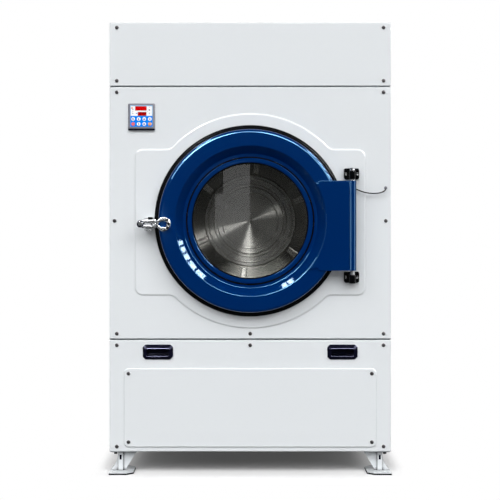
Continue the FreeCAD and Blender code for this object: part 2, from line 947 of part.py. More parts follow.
door_frame = turned("door_pressing", "y", [
    (size.door_outer, door_back),
    (size.door_outer, door_front),
    (size.dish_outer, door_front),
    (size.dish_inner, bead_base),
    (size.glass_hole, bead_base),
    (size.glass_hole, bead_base + size.door_wall),
    (size.dish_inner + size.door_wall / 2, bead_base + size.door_wall),
    (size.dish_outer + size.door_wall / 2, door_front + size.door_wall),
    (size.door_outer - size.door_wall, door_front + size.door_wall),
    (size.door_outer - size.door_wall, door_back - size.door_wall),
    (size.door_flange_inner, door_back - size.door_wall),
    (size.door_flange_inner, door_back),
])
soften(door_frame, size.rim_round, lambda edge: is_circle_at(edge, size.door_outer, door_front))
soften(door_frame, size.rim_round - size.door_wall, lambda edge: is_circle_at(
    edge, size.door_outer - size.door_wall, door_front + size.door_wall))
soften(door_frame, size.door_wall, lambda edge: is_circle_at(edge, size.dish_outer, door_front))
on_door_axis(door_frame, "door_frame")

bead = turned("bead", "y", ring_points(
    size.bead_outer - size.bead_width, size.bead_outer, bead_base - size.bead_height, bead_base))
bead_front = bead_base - size.bead_height
soften(bead, size.bead_round, lambda edge: near(edge.BoundBox.YMax, bead_front))
on_door_axis(bead, "glass_clamp_ring")

seal_front = bead_base + size.door_wall
on_door_axis(turned("seal", "y", ring_points(
    size.glass_hole, size.glass_radius, seal_front, glass_front)), "glass_seal")
on_door_axis(turned("glass", "y", [
    (0, glass_front), (size.glass_radius, glass_front),
    (size.glass_radius, glass_back), (0, glass_back)]), "door_glass")
on_door_axis(turned("retainer", "y", ring_points(
    size.glass_hole, size.retainer_outer, glass_back, glass_back + size.retainer_thickness)),
    "glass_retainer")
gasket = turned("gasket", "y", ring_points(
    size.gasket_inner, size.gasket_outer, door_back, door_back + size.gasket_depth))
soften(gasket, size.gasket_round, lambda edge: hasattr(edge.Curve, "Radius")
       and near(edge.Curve.Radius, size.gasket_outer))
on_door_axis(gasket, "door_gasket")


# Hinge

def hinge_leaf():
    plate = new_body("leaf_plate")
    face = new_sketch(plate, "XZ_Plane", door_front - size.leaf_thickness)
    leaf_right = size.hinge_reach - size.hinge_tube_radius + size.leaf_overlap
    rectangle(face, (size.leaf_left, leaf_right), (leaf_low, leaf_high))
    pad(plate, face, size.leaf_thickness)
    soften(plate, size.leaf_corner, lambda edge: runs_along(edge, "y")
           and near(edge.BoundBox.XMin, size.leaf_left))
    place(plate, 0, 0, 0)
    dish = rod("leaf_dish", "y", size.dish_outer, 0, door_front - size.leaf_thickness * 2,
               size.door_height, size.leaf_thickness * 3)
    barrel = rod("leaf_barrel", "z", size.hinge_tube_radius, size.hinge_reach, hinge_depth,
                 leaf_low, size.leaf_height)
    bore = rod("leaf_bore", "z", size.hinge_pin_radius + size.hinge_fit, size.hinge_reach,
               hinge_depth, leaf_low - size.leaf_thickness, size.leaf_height + size.leaf_thickness * 2)
    return cut("leaf", join("leaf_blank", [cut("leaf_trimmed", plate, [dish]), barrel]), [bore])


keep(hinge_leaf(), "hinge_leaf")


def hinge_bracket(word, middle):
    low = middle - size.bracket_height / 2
    high = middle + size.bracket_height / 2
    plate_face = field_face - size.bracket_plate
    base_plate = new_body(f"{word}_bracket_base")
    face = new_sketch(base_plate, "XZ_Plane", plate_face)
    half = size.bracket_width / 2
    rectangle(face, (size.hinge_reach - half, size.hinge_reach + half), (low, high))
    pad(base_plate, face, size.bracket_plate)
    soften(base_plate, size.bracket_corner, lambda edge: runs_along(edge, "y"))
    place(base_plate, 0, 0, 0)
    web_half = size.bracket_web_width / 2
    web = box(f"{word}_bracket_web", (size.hinge_reach - web_half, size.hinge_reach + web_half),
              (hinge_depth, field_face), (low, high))
    boss = rod(f"{word}_bracket_boss", "z", size.hinge_tube_radius, size.hinge_reach, hinge_depth,
               low, size.bracket_height)
    bore = rod(f"{word}_bracket_bore", "z", size.hinge_pin_radius + size.hinge_fit, size.hinge_reach,
               hinge_depth, low - size.bracket_plate, size.bracket_height + size.bracket_plate * 2)
    holes = [
        rod(f"{word}_bracket_hole_{number}", "y", size.bracket_bolt_radius + size.fit, x,
            plate_face * 2, z, size.bracket_plate * 3)
        for number, (x, z) in enumerate(bracket_bolts)
        if near(z.number, middle)
    ]
    blank = join(f"{word}_bracket_blank", [base_plate, web, boss])
    return cut(f"{word}_bracket", blank, [bore] + holes)


brackets = [hinge_bracket("lower", bracket_low), hinge_bracket("upper", bracket_high)]
keep(group("bracket_set", brackets), "hinge_brackets")

bolt_seat = field_face - size.bracket_plate


def bracket_bolt(number, x, z):
    grip = size.bracket_plate + size.field_raise + size.skin * 2
    head = size.bracket_bolt_head
    body = turned(f"bracket_bolt_{number}", "y", [
        (0, grip), (size.bracket_bolt_radius, grip), (size.bracket_bolt_radius, 0),
        (head, 0), (head, -size.bracket_bolt_rim_height),
        (size.bracket_bolt_crown, -size.bracket_bolt_head_height), (0, -size.bracket_bolt_head_height),
    ])
    place(body, x, bolt_seat, z)
    return body


keep(group("bracket_bolt_set", [
    bracket_bolt(number, x, z) for number, (x, z) in enumerate(bracket_bolts)
]), "hinge_bolts")

pin_low = bracket_low - size.bracket_height / 2
pin_high = bracket_high + size.bracket_height / 2
keep(rod("pin_bar", "z", size.hinge_pin_radius, size.hinge_reach, hinge_depth, pin_low,
         pin_high - pin_low), "hinge_pin")


# Latch

latch_pivot = -size.latch_pivot_reach
arm_low = latch_height - size.arm_height / 2
arm_high = latch_height + size.arm_height / 2
arm_depths = (latch_depth - size.arm_thickness / 2, latch_depth + size.arm_thickness / 2)
latch_bore = size.latch_pin_radius + size.hinge_fit
lug_half = size.arm_slot / 2 - size.fit


def latch_base():
    ring_x = -size.latch_ring_reach
    disc = turned("latch_disc", "y", [
        (0, door_front), (size.latch_ring_radius, door_front),
        (size.latch_ring_radius, door_front - size.latch_ring_depth / 2),
        (size.latch_ring_radius - size.latch_ring_depth / 2, door_front - size.latch_ring_depth),
        (0, door_front - size.latch_ring_depth),
    ])
    place(disc, ring_x, 0, latch_height)
    lug_depths = (latch_depth - size.arm_thickness / 2, door_front - size.latch_lug_air)
    lug_x = (latch_pivot - size.latch_lug_end, ring_x - size.latch_ring_radius + size.latch_lug_overlap)
    lug = box("latch_lug", lug_x, lug_depths, (latch_height - lug_half, latch_height + lug_half))
    slope = size.latch_hole_height / 2
    straight = size.latch_hole_width / 2 - slope
    hole_front = door_front - size.latch_ring_depth * 2
    hole_run = size.latch_ring_depth * 2
    hole = box("latch_hole_middle", (ring_x - straight, ring_x + straight),
               (hole_front, hole_front + hole_run), (latch_height - slope, latch_height + slope))
    ends = [
        rod(f"latch_hole_end_{number}", "y", slope, ring_x + side * straight, hole_front,
            latch_height, hole_run)
        for number, side in enumerate((-1, 1))
    ]
    bore = rod("latch_lug_bore", "z", latch_bore, latch_pivot, latch_depth, arm_low, size.arm_height)
    holes = join("latch_hole", [hole] + ends)
    return cut("latch_plate", join("latch_blank", [disc, lug]), [holes, bore])


keep(latch_base(), "latch_base")


def latch_arm():
    bar_x = (-size.knob_reach, latch_pivot + size.arm_heel)
    bar = box("arm_bar", bar_x, arm_depths, (arm_low, arm_high))
    knob = rod("arm_knob", "y", size.knob_radius, -size.knob_reach, latch_front, latch_height,
               size.knob_depth)
    slot_x = (size.arm_slot_start - size.knob_reach, latch_pivot + size.arm_heel + size.skin)
    slot = box("arm_slot", slot_x, (arm_depths[0] - size.skin, arm_depths[1] + size.skin),
               (latch_height - size.arm_slot / 2, latch_height + size.arm_slot / 2))
    bore = rod("arm_bore", "z", latch_bore, latch_pivot, latch_depth, arm_low - size.skin,
               size.arm_height + size.skin * 2)
    return cut("arm", join("arm_blank", [bar, knob]), [slot, bore])


keep(latch_arm(), "latch_arm")

latch_pin = turned("latch_pin_bar", "z", [
    (0, arm_low - size.latch_pin_head), (size.latch_pin_head_radius, arm_low - size.latch_pin_head),
    (size.latch_pin_head_radius, arm_low - size.fit), (size.latch_pin_radius, arm_low - size.fit),
    (size.latch_pin_radius, arm_high), (0, arm_high),
])
place(latch_pin, latch_pivot, latch_depth, 0)
keep(latch_pin, "latch_pin")

strike_x = (
    -size.gasket_outer - size.strike_gasket_gap - size.strike_width,
    -size.gasket_outer - size.strike_gasket_gap,
)


def strike():
    prong_gap = size.arm_height / 2 + size.prong_gap
    prong_top = prong_gap + size.prong_height
    plate = box("strike_plate", strike_x, (field_face - size.strike_plate, field_face),
                (latch_height - prong_top, latch_height + prong_top))
    reach = (-size.prong_reach, field_face)
    low = box("strike_low", strike_x, reach, (latch_height - prong_top, latch_height - prong_gap))
    high = box("strike_high", strike_x, reach, (latch_height + prong_gap, latch_height + prong_top))
    return join("strike_body", [plate, low, high])


keep(strike(), "latch_strike")
keep(box("buffer_block", strike_x, (arm_depths[1] + size.buffer_gap, field_face - size.strike_plate),
         (latch_height - size.buffer_height / 2, latch_height + size.buffer_height / 2)), "latch_buffer")


# Control unit

def control_bezel():
    body = new_body("bezel")
    half = size.control_face / 2
    face = new_sketch(body, "XZ_Plane", -size.bezel_depth)
    rectangle(face, (control_x - half, control_x + half),
              (size.control_height - half, size.control_height + half))
    pad(body, face, size.bezel_depth)
    soften(body, size.control_corner, lambda edge: runs_along(edge, "y"))
    soften(body, size.window_recess, lambda edge: near(edge.BoundBox.YMax, -size.bezel_depth))
    window = new_sketch(body, "XZ_Plane", -size.bezel_depth)
    middle = size.control_height + size.window_rise
    rectangle(window, (control_x - size.window_width / 2, control_x + size.window_width / 2),
              (middle - size.window_height / 2, middle + size.window_height / 2))
    pocket(body, window, size.window_recess)
    drill(body, key_places, size.key_radius + size.fit, -size.bezel_depth, size.bezel_depth * 2)
    return body


key_middle = size.control_height - size.key_rows_drop + size.window_rise
key_places = [
    (control_x + (column - 1.5) * size.key_pitch, key_middle + (0.5 - row) * size.key_row_pitch)
    for row in range(2)
    for column in range(4)
]
finish_body(control_bezel(), "control_bezel")

key_front = -size.bezel_depth + size.window_recess - size.key_proud
for number, (x, z) in enumerate(key_places, start=1):
    key = turned(f"key_cap_{number}", "y", [
        (0, key_front), (size.key_crown_radius, key_front),
        (size.key_radius, key_front + size.key_crown_height),
        (size.key_radius, -size.key_travel - size.fit), (0, -size.key_travel - size.fit),
    ])
    place(key, x, 0, z)
    keep(key, f"key_{number}")

body_half = size.control_body / 2
keep(box("control_box", (control_x - body_half, control_x + body_half), (0, size.control_body_depth),
         (size.control_height - body_half, size.control_height + body_half)), "control_housing")


# Door switch and its lead

switch_right = size.switch_left + size.switch_width
keep(box("switch_box", (size.switch_left, switch_right), (field_face - size.switch_depth, field_face),
         (lead_height - size.switch_height / 2, lead_height + size.switch_height / 2)), "door_switch")

grommet = turned("grommet", "y", [
    (0, size.skin - size.fit), (size.grommet_neck, size.skin - size.fit), (size.grommet_neck, 0),
    (size.grommet_radius, 0), (size.grommet_crown_radius, -size.grommet_flange),
    (0, -size.grommet_flange),
])
place(grommet, grommet_x, 0, lead_height)
keep(grommet, "cable_grommet")

# The lead's route: along X from the switch, depth from the panel, height above the exit.
lead_route = [
    (0, -14, 0), (10, -14, 0), (24, -14.5, -7), (46, -15.5, -15.5), (70, -16, -20),
    (94, -16, -19.7), (111, -15.5, -16), (121.5, -14.5, -10), (125.5, -12, -3),
    (125.5, -7, 0), (125.5, -2, 0),
]


def lead_shape():
    """The lead: straight runs joined by tangent arcs, as large as the runs allow."""
    start = Vector(switch_right.number, face_y.number, lead_height.number)
    points = [start + Vector(*point) for point in lead_route]
    points[-2].x = grommet_x.number
    points[-1] = Vector(grommet_x.number, face_y.number - size.grommet_flange.number, lead_height.number)
    arc_share = 0.45
    edges = []
    radii = []
    last = points[0]
    for before, corner, after in zip(points, points[1:], points[2:]):
        arriving = (corner - before).normalize()
        leaving = (after - corner).normalize()
        half_turn = arriving.getAngle(leaving) / 2
        reach = arc_share * min(before.distanceToPoint(corner), corner.distanceToPoint(after))
        radii.append(reach / math.tan(half_turn))
        enter = corner - arriving * reach
        leave = corner + leaving * reach
        inward = (leaving - arriving).normalize()
        rise = radii[-1] / math.cos(half_turn) - radii[-1]
        edges.append(Part.LineSegment(last, enter).toShape())
        edges.append(Part.Arc(enter, corner + inward * rise, leave).toShape())
        last = leave
    edges.append(Part.LineSegment(last, points[-1]).toShape())
    path = Part.Wire(edges)
    section = Part.Wire([Part.makeCircle(
        size.lead_radius.number, points[0], points[1] - points[0])])
    tube = path.makePipeShell([section], True, False)
    expected = math.pi * size.lead_radius.number ** 2 * path.Length
    print("lead length", round(path.Length, 1), "radii", [round(radius, 1) for radius in radii])
    print("lead volume over section times length", round(tube.Volume / expected, 4))
    return tube


lead = doc.addObject("Part::Feature", "lead")
lead.Shape = lead_shape()
keep(lead, "switch_cable")


# Lower panel fittings and lint drawer

def pull_handle(word, middle):
    half_x = size.pull_width / 2
    half_z = size.pull_height / 2
    corner = size.pull_chamfer
    plate = new_body(f"{word}_pull_plate")
    face = new_sketch(plate, "XZ_Plane", -size.pull_proud)
    left, right = middle - half_x, middle + half_x
    low, high = pull_height - half_z, pull_height + half_z
    outline(face, [
        (left + corner, low), (right - corner, low), (right, low + corner), (right, high - corner),
        (right - corner, high), (left + corner, high), (left, high - corner), (left, low + corner),
    ])
    pad(plate, face, size.pull_proud)
    place(plate, 0, 0, 0)
    cup = box(f"{word}_pull_cup", (middle - pull_cup_x, middle + pull_cup_x), (0, size.pull_depth),
              (pull_height - pull_cup_z, pull_height + pull_cup_z))
    mouth_x = size.pull_mouth_width / 2
    mouth_z = size.pull_mouth_height / 2
    funnel = doc.addObject("Part::Wedge", f"{word}_pull_funnel")
    wide_x = half_x - size.pull_lip
    wide_z = half_z - size.pull_lip
    for name, value in (
        ("Xmin", -wide_x), ("Xmax", wide_x), ("Zmin", -wide_z), ("Zmax", wide_z),
        ("X2min", -mouth_x), ("X2max", mouth_x), ("Z2min", -mouth_z), ("Z2max", mouth_z),
        ("Ymin", length(0)), ("Ymax", size.pull_funnel),
    ):
        funnel.setExpression(name, value.text)
    place(funnel, middle, -size.pull_proud, pull_height)
    hollow = box(f"{word}_pull_hollow", (middle - mouth_x, middle + mouth_x),
                 (0, size.pull_depth - size.pull_wall), (pull_height - mouth_z, pull_height + mouth_z))
    return cut(f"{word}_pull", join(f"{word}_pull_blank", [plate, cup]), [funnel, hollow])


pulls = [pull_handle("left", -pull_x), pull_handle("right", pull_x)]
keep(group("pull_set", pulls), "pull_handles")

lint_low = base_top + size.drawer_rail_height + size.fit
lint_high = lint_low + size.lint_height
lint_depths = (size.skin, size.skin + size.lint_length)
lint_inner = lint_half - size.lint_wall
lint_block = box("lint_block", (-lint_half, lint_half), lint_depths, (lint_low, lint_high))
lint_hollow = box(
    "lint_hollow", (-lint_inner, lint_inner),
    (lint_depths[0] + size.lint_wall, lint_depths[1] - size.lint_wall),
    (lint_low - size.lint_wall, lint_high + size.lint_wall))
keep(cut("lint_walls", lint_block, [lint_hollow]), "lint_frame")
screen_low = lint_low + size.lint_screen_rise
keep(box(
    "lint_mesh", (-lint_inner, lint_inner),
    (lint_depths[0] + size.lint_wall, lint_depths[1] - size.lint_wall),
    (screen_low, screen_low + size.lint_screen_thickness)), "lint_screen")


# Drum, its shaft and its drive

collar_outer = size.opening_radius + size.collar_wall
on_door_axis(turned("collar", "y", [
    (size.opening_radius, size.skin), (size.opening_radius + size.collar_flange, size.skin),
    (size.opening_radius + size.collar_flange, size.skin + size.collar_wall),
    (collar_outer, size.skin + size.collar_wall), (collar_outer, size.skin + size.collar_depth),
    (size.opening_radius, size.skin + size.collar_depth),
]), "loading_collar")

drum_inner = size.drum_radius - size.drum_wall
drum_mouth = collar_outer + size.drum_mouth_gap
drum_floor = drum_back - size.drum_wall
on_door_axis(turned("drum", "y", [
    (drum_mouth, size.drum_front), (size.drum_radius, size.drum_front),
    (size.drum_radius, drum_back), (0, drum_back), (0, drum_floor - size.disc_raise),
    (size.disc_radius, drum_floor - size.disc_raise),
    (size.disc_radius + size.disc_slope, drum_floor), (drum_inner, drum_floor),
    (drum_inner, size.drum_front + size.drum_wall), (drum_mouth, size.drum_front + size.drum_wall),
]), "drum_shell")


def lifter(number):
    """A lifter: a tapered rib of folded sheet along the drum, open towards the shell."""
    half = size.lifter_width / 2
    tip = size.lifter_top_width / 2
    reach = drum_inner - size.fit
    base = root(reach * reach - half * half)
    crest = base - size.lifter_height
    body = new_body(f"lifter_{number}")
    first = size.drum_front + size.drum_wall + size.lifter_margin
    face = new_sketch(body, "XZ_Plane", first)
    outline(face, [(-half, base), (half, base), (tip, crest), (-tip, crest)])
    run = drum_floor - size.lifter_margin - first
    pad(body, face, run)
    soften(body, size.lifter_round, lambda edge: runs_along(edge, "y")
           and near(edge.BoundBox.ZMin, crest))
    wall = size.lifter_wall
    lean = (half - tip) / size.lifter_height
    side_wall = wall * root(lean * lean + 1)
    inner_tip = tip + lean * wall - side_wall
    inside = new_sketch(body, "XZ_Plane", first + wall)
    outline(inside, [(side_wall - half, base), (half - side_wall, base),
                     (inner_tip, crest + wall), (-inner_tip, crest + wall)])
    pocket(body, inside, run - wall * 2)
    turn = Rotation(Vector(0, 1, 0), 360 * number / SIZES["lifter_count"])
    body.Placement = FreeCAD.Placement(Vector(), turn)
    place(body, 0, 0, size.door_height)
    return body


lifters = [lifter(number) for number in range(int(SIZES["lifter_count"]))]
keep(group("lifter_set", lifters), "drum_lifters")

on_door_axis(turned("shaft", "y", [
    (0, drum_back), (size.shaft_flange_radius, drum_back),
    (size.shaft_flange_radius, drum_back + size.shaft_flange),
    (size.shaft_radius, drum_back + size.shaft_flange),
    (size.shaft_radius, pulley_back + size.shaft_tail), (0, pulley_back + size.shaft_tail),
]), "drum_shaft")

shaft_bore = size.shaft_radius + size.hinge_fit
pulley_rim = size.pulley_radius - size.pulley_rim
web_front = pulley_front + (size.pulley_width - size.pulley_web) / 2
web_back = web_front + size.pulley_web
on_door_axis(turned("pulley", "y", [
    (shaft_bore, pulley_front), (size.pulley_hub, pulley_front), (size.pulley_hub, web_front),
    (pulley_rim, web_front), (pulley_rim, pulley_front), (size.pulley_radius, pulley_front),
    (size.pulley_radius, pulley_back), (pulley_rim, pulley_back), (pulley_rim, web_back),
    (size.pulley_hub, web_back), (size.pulley_hub, pulley_back), (shaft_bore, pulley_back),
]), "drum_pulley")

bearing_blocks = []
for word, start in (("front", bearing_front), ("rear", bearing_rear)):
    end = start + size.bearing_width
    bearing = turned(f"{word}_bearing", "y", ring_points(shaft_bore, size.bearing_outer, start, end))
    place(bearing, 0, 0, size.door_height)
    bearing_blocks.append(bearing)
    block = box(f"{word}_housing_block", (-half_housing, half_housing), (start, end),
                (size.door_height - half_housing, size.door_height + half_housing))
    bore = rod(f"{word}_housing_bore", "y", size.bearing_outer + size.hinge_fit, 0,
               start - size.skin, size.door_height, size.bearing_width + size.skin * 2)
    bearing_blocks.append(cut(f"{word}_housing", block, [bore]))
keep(group("bearing_set", bearing_blocks), "bearing_blocks")

motor_back = pulley_front - size.motor_pulley_air
motor_front = motor_back - size.motor_length
motor_bore = size.motor_shaft_radius + size.hinge_fit
motor_can = turned("motor_can", "y", [
    (0, motor_front), (size.motor_radius, motor_front), (size.motor_radius, motor_back),
    (motor_bore, motor_back), (motor_bore, motor_back - size.motor_shaft_grip - size.fit),
    (0, motor_back - size.motor_shaft_grip - size.fit),
])
place(motor_can, motor_x, 0, size.motor_height)
motor_foot = box(
    "motor_foot",
    (motor_x - size.motor_foot_width / 2, motor_x + size.motor_foot_width / 2),
    (motor_front + size.motor_foot_front, motor_back - size.motor_foot_rear),
    (base_top, size.motor_height))
keep(join("motor", [motor_can, motor_foot]), "drive_motor")

motor_pulley = turned("motor_wheel", "y", [
    (0, motor_back - size.motor_shaft_grip), (size.motor_shaft_radius, motor_back - size.motor_shaft_grip),
    (size.motor_shaft_radius, pulley_front), (size.motor_pulley_radius, pulley_front),
    (size.motor_pulley_radius, pulley_back), (0, pulley_back),
])
place(motor_pulley, motor_x, 0, size.motor_height)
keep(motor_pulley, "motor_pulley")


def belt_loop(extra):
    """The closed line round both pulleys, a distance extra outside their rims."""
    large = size.pulley_radius.number + extra
    small = size.motor_pulley_radius.number + extra
    large_middle = Vector(0, 0, size.door_height.number)
    small_middle = Vector(motor_x.number, 0, size.motor_height.number)
    along = small_middle - large_middle
    span = along.Length
    along.normalize()
    across = Vector(-along.z, 0, along.x)
    lean = (large - small) / span
    spread = math.sqrt(1 - lean ** 2)
    first = across * spread + along * lean
    second = across * -spread + along * lean
    loop = [
        Part.Arc(large_middle + first * large, large_middle - along * large,
                 large_middle + second * large),
        Part.LineSegment(large_middle + second * large, small_middle + second * small),
        Part.Arc(small_middle + second * small, small_middle + along * small,
                 small_middle + first * small),
        Part.LineSegment(small_middle + first * small, large_middle + first * large),
    ]
    return Part.Wire([line.toShape() for line in loop])


belt = doc.addObject("Part::Feature", "belt")
belt_inside = size.belt_gap.number
belt_outside = belt_inside + size.belt_thickness.number
belt_run = Vector(0, size.belt_width.number, 0)
outer_belt = Part.Face(belt_loop(belt_outside)).extrude(belt_run)
belt.Shape = outer_belt.cut(Part.Face(belt_loop(belt_inside)).extrude(belt_run))
place(belt, 0, pulley_front + (size.pulley_width - size.belt_width) / 2, 0)
keep(belt, "drive_belt")


# Heater

heater_half = size.heater_width / 2
heater_high = frame_top - size.post
heater_low = heater_high - size.heater_height
heater_depths = (size.heater_rail_front, size.heater_rail_rear + size.post)
heater_inner = heater_half - size.heater_wall
heater_block = box("heater_block", (-heater_half, heater_half), heater_depths, (heater_low, heater_high))
heater_hollow = box(
    "heater_hollow", (-heater_inner, heater_inner),
    (heater_depths[0] + size.heater_wall, heater_depths[1] - size.heater_wall),
    (heater_low - size.heater_wall, heater_high - size.heater_wall))
keep(cut("heater_shell", heater_block, [heater_hollow]), "heater_box")
rod_step = (heater_depths[1] - heater_depths[0]) / (size.rod_count + 1)
heater_rods = [
    rod(f"heater_rod_{number}", "x", size.rod_radius, -heater_inner,
        heater_depths[0] + (number + 1) * rod_step, heater_low + size.heater_height / 2, heater_inner * 2)
    for number in range(int(SIZES["rod_count"]))
]
keep(group("heater_rod_set", heater_rods), "heater_rods")


# Fan and exhaust

def fan_housing():
    wall = size.scroll_wall
    radius = size.scroll_radius
    outlet_high = scroll_low + size.scroll_width
    drum_shape = rod("scroll_round", "x", radius, scroll_left, size.fan_depth, size.fan_height,
                     size.scroll_width)
    outlet = box("scroll_outlet", (scroll_left, scroll_right), (size.fan_depth, size.outlet_end),
                 (scroll_low, outlet_high))
    foot_depths = (size.fan_depth - size.fan_foot_length / 2, size.fan_depth + size.fan_foot_length / 2)
    foot = box("scroll_foot", (scroll_left, scroll_right), foot_depths,
               (base_top, size.fan_height - radius / 2))
    inner_round = rod("scroll_hollow", "x", radius - wall, scroll_left + wall, size.fan_depth,
                      size.fan_height, size.scroll_width - wall * 2)
    inner_outlet = box(
        "outlet_hollow", (scroll_left + wall, scroll_right - wall),
        (size.fan_depth, size.outlet_end + wall), (scroll_low + wall, outlet_high - wall))
    inlet = rod("scroll_inlet", "x", size.fan_inlet_radius, scroll_right - wall * 2, size.fan_depth,
                size.fan_height, wall * 3)
    shaft_way = rod("scroll_shaft_way", "x", size.fan_shaft_radius + size.fan_shaft_air, scroll_left - wall,
                    size.fan_depth, size.fan_height, wall * 3)
    blank = join("scroll_blank", [drum_shape, outlet, foot])
    hollow = join("scroll_space", [inner_round, inner_outlet])
    return cut("scroll", blank, [hollow, inlet, shaft_way])


keep(fan_housing(), "fan_housing")


def fan_impeller():
    disc_left = scroll_left + size.scroll_wall + size.impeller_gap
    disc_right = disc_left + size.impeller_disc
    tail = scroll_left - size.fan_shaft_grip
    wheel = turned("wheel", "x", [
        (tail, 0), (tail, size.fan_shaft_radius), (disc_left, size.fan_shaft_radius),
        (disc_left, size.impeller_radius), (disc_right, size.impeller_radius),
        (disc_right, size.fan_hub_radius), (disc_right + size.fan_hub_length, size.fan_hub_radius),
        (disc_right + size.fan_hub_length, 0),
    ])
    place(wheel, 0, size.fan_depth, size.fan_height)
    blades = []
    for number in range(int(SIZES["blade_count"])):
        blade = doc.addObject("Part::Box", f"blade_{number}")
        blade.setExpression("Length", (size.impeller_width - size.impeller_disc).text)
        blade.setExpression("Width", size.blade_thickness.text)
        blade.setExpression("Height", size.blade_length.text)
        turn = 2 * math.pi * number / SIZES["blade_count"]
        blade.Placement = FreeCAD.Placement(Vector(), Rotation(Vector(1, 0, 0), math.degrees(turn)))
        foot = size.impeller_radius - size.blade_length
        place(blade, disc_right - size.impeller_disc / 2, size.fan_depth - foot * math.sin(turn),
              size.fan_height + foot * math.cos(turn))
        blades.append(blade)
    return join("impeller", [wheel] + blades)


keep(fan_impeller(), "fan_impeller")

fan_bore = size.fan_shaft_radius + size.hinge_fit
fan_can = turned("fan_can", "x", [
    (scroll_left - size.fan_motor_length, 0), (scroll_left - size.fan_motor_length, size.fan_motor_radius),
    (scroll_left, size.fan_motor_radius), (scroll_left, fan_bore),
    (scroll_left - size.fan_shaft_grip - size.fit, fan_bore),
    (scroll_left - size.fan_shaft_grip - size.fit, 0),
])
place(fan_can, 0, size.fan_depth, size.fan_height)
fan_foot_depths = (size.fan_depth - size.fan_foot_length / 2, size.fan_depth + size.fan_foot_length / 2)
fan_foot_x = (
    scroll_left - size.fan_motor_length + size.fan_foot_left,
    scroll_left - size.fan_foot_right,
)
fan_foot = box("fan_motor_foot", fan_foot_x, fan_foot_depths, (base_top, size.fan_height))
keep(join("fan_drive", [fan_can, fan_foot]), "fan_motor")

spigot_inner = size.spigot_radius - size.spigot_wall
spigot_end = size.cabinet_depth + size.spigot_reach
spigot_tube = turned("spigot_tube", "y", [
    (spigot_inner, size.outlet_end), (spigot_neck, size.outlet_end),
    (spigot_neck, size.cabinet_depth), (size.spigot_radius, size.cabinet_depth),
    (size.spigot_radius, spigot_end), (spigot_inner, spigot_end),
])
place(spigot_tube, fan_x, 0, spigot_height)
spigot_half = size.scroll_width / 2 + size.spigot_flange_margin
spigot_plate = box(
    "spigot_plate", (fan_x - spigot_half, fan_x + spigot_half),
    (size.outlet_end, size.outlet_end + size.spigot_flange),
    (spigot_height - spigot_half, spigot_height + spigot_half))
spigot_bore = rod("spigot_bore", "y", spigot_inner, fan_x, size.outlet_end - size.skin, spigot_height,
                  size.skin * 4)
keep(cut("spigot", join("spigot_blank", [spigot_tube, spigot_plate]), [spigot_bore]), "exhaust_spigot")

gland = turned("gland", "y", [
    (size.gland_bore, rear_inner - size.skin), (size.gland_neck, rear_inner - size.skin),
    (size.gland_neck, size.cabinet_depth), (size.gland_radius, size.cabinet_depth),
    (size.gland_radius, size.cabinet_depth + size.gland_nut_length),
    (size.gland_neck, size.cabinet_depth + size.gland_length),
    (size.gland_bore, size.cabinet_depth + size.gland_length),
])
place(gland, gland_x, 0, size.gland_height)
keep(gland, "cable_gland")


# Feet

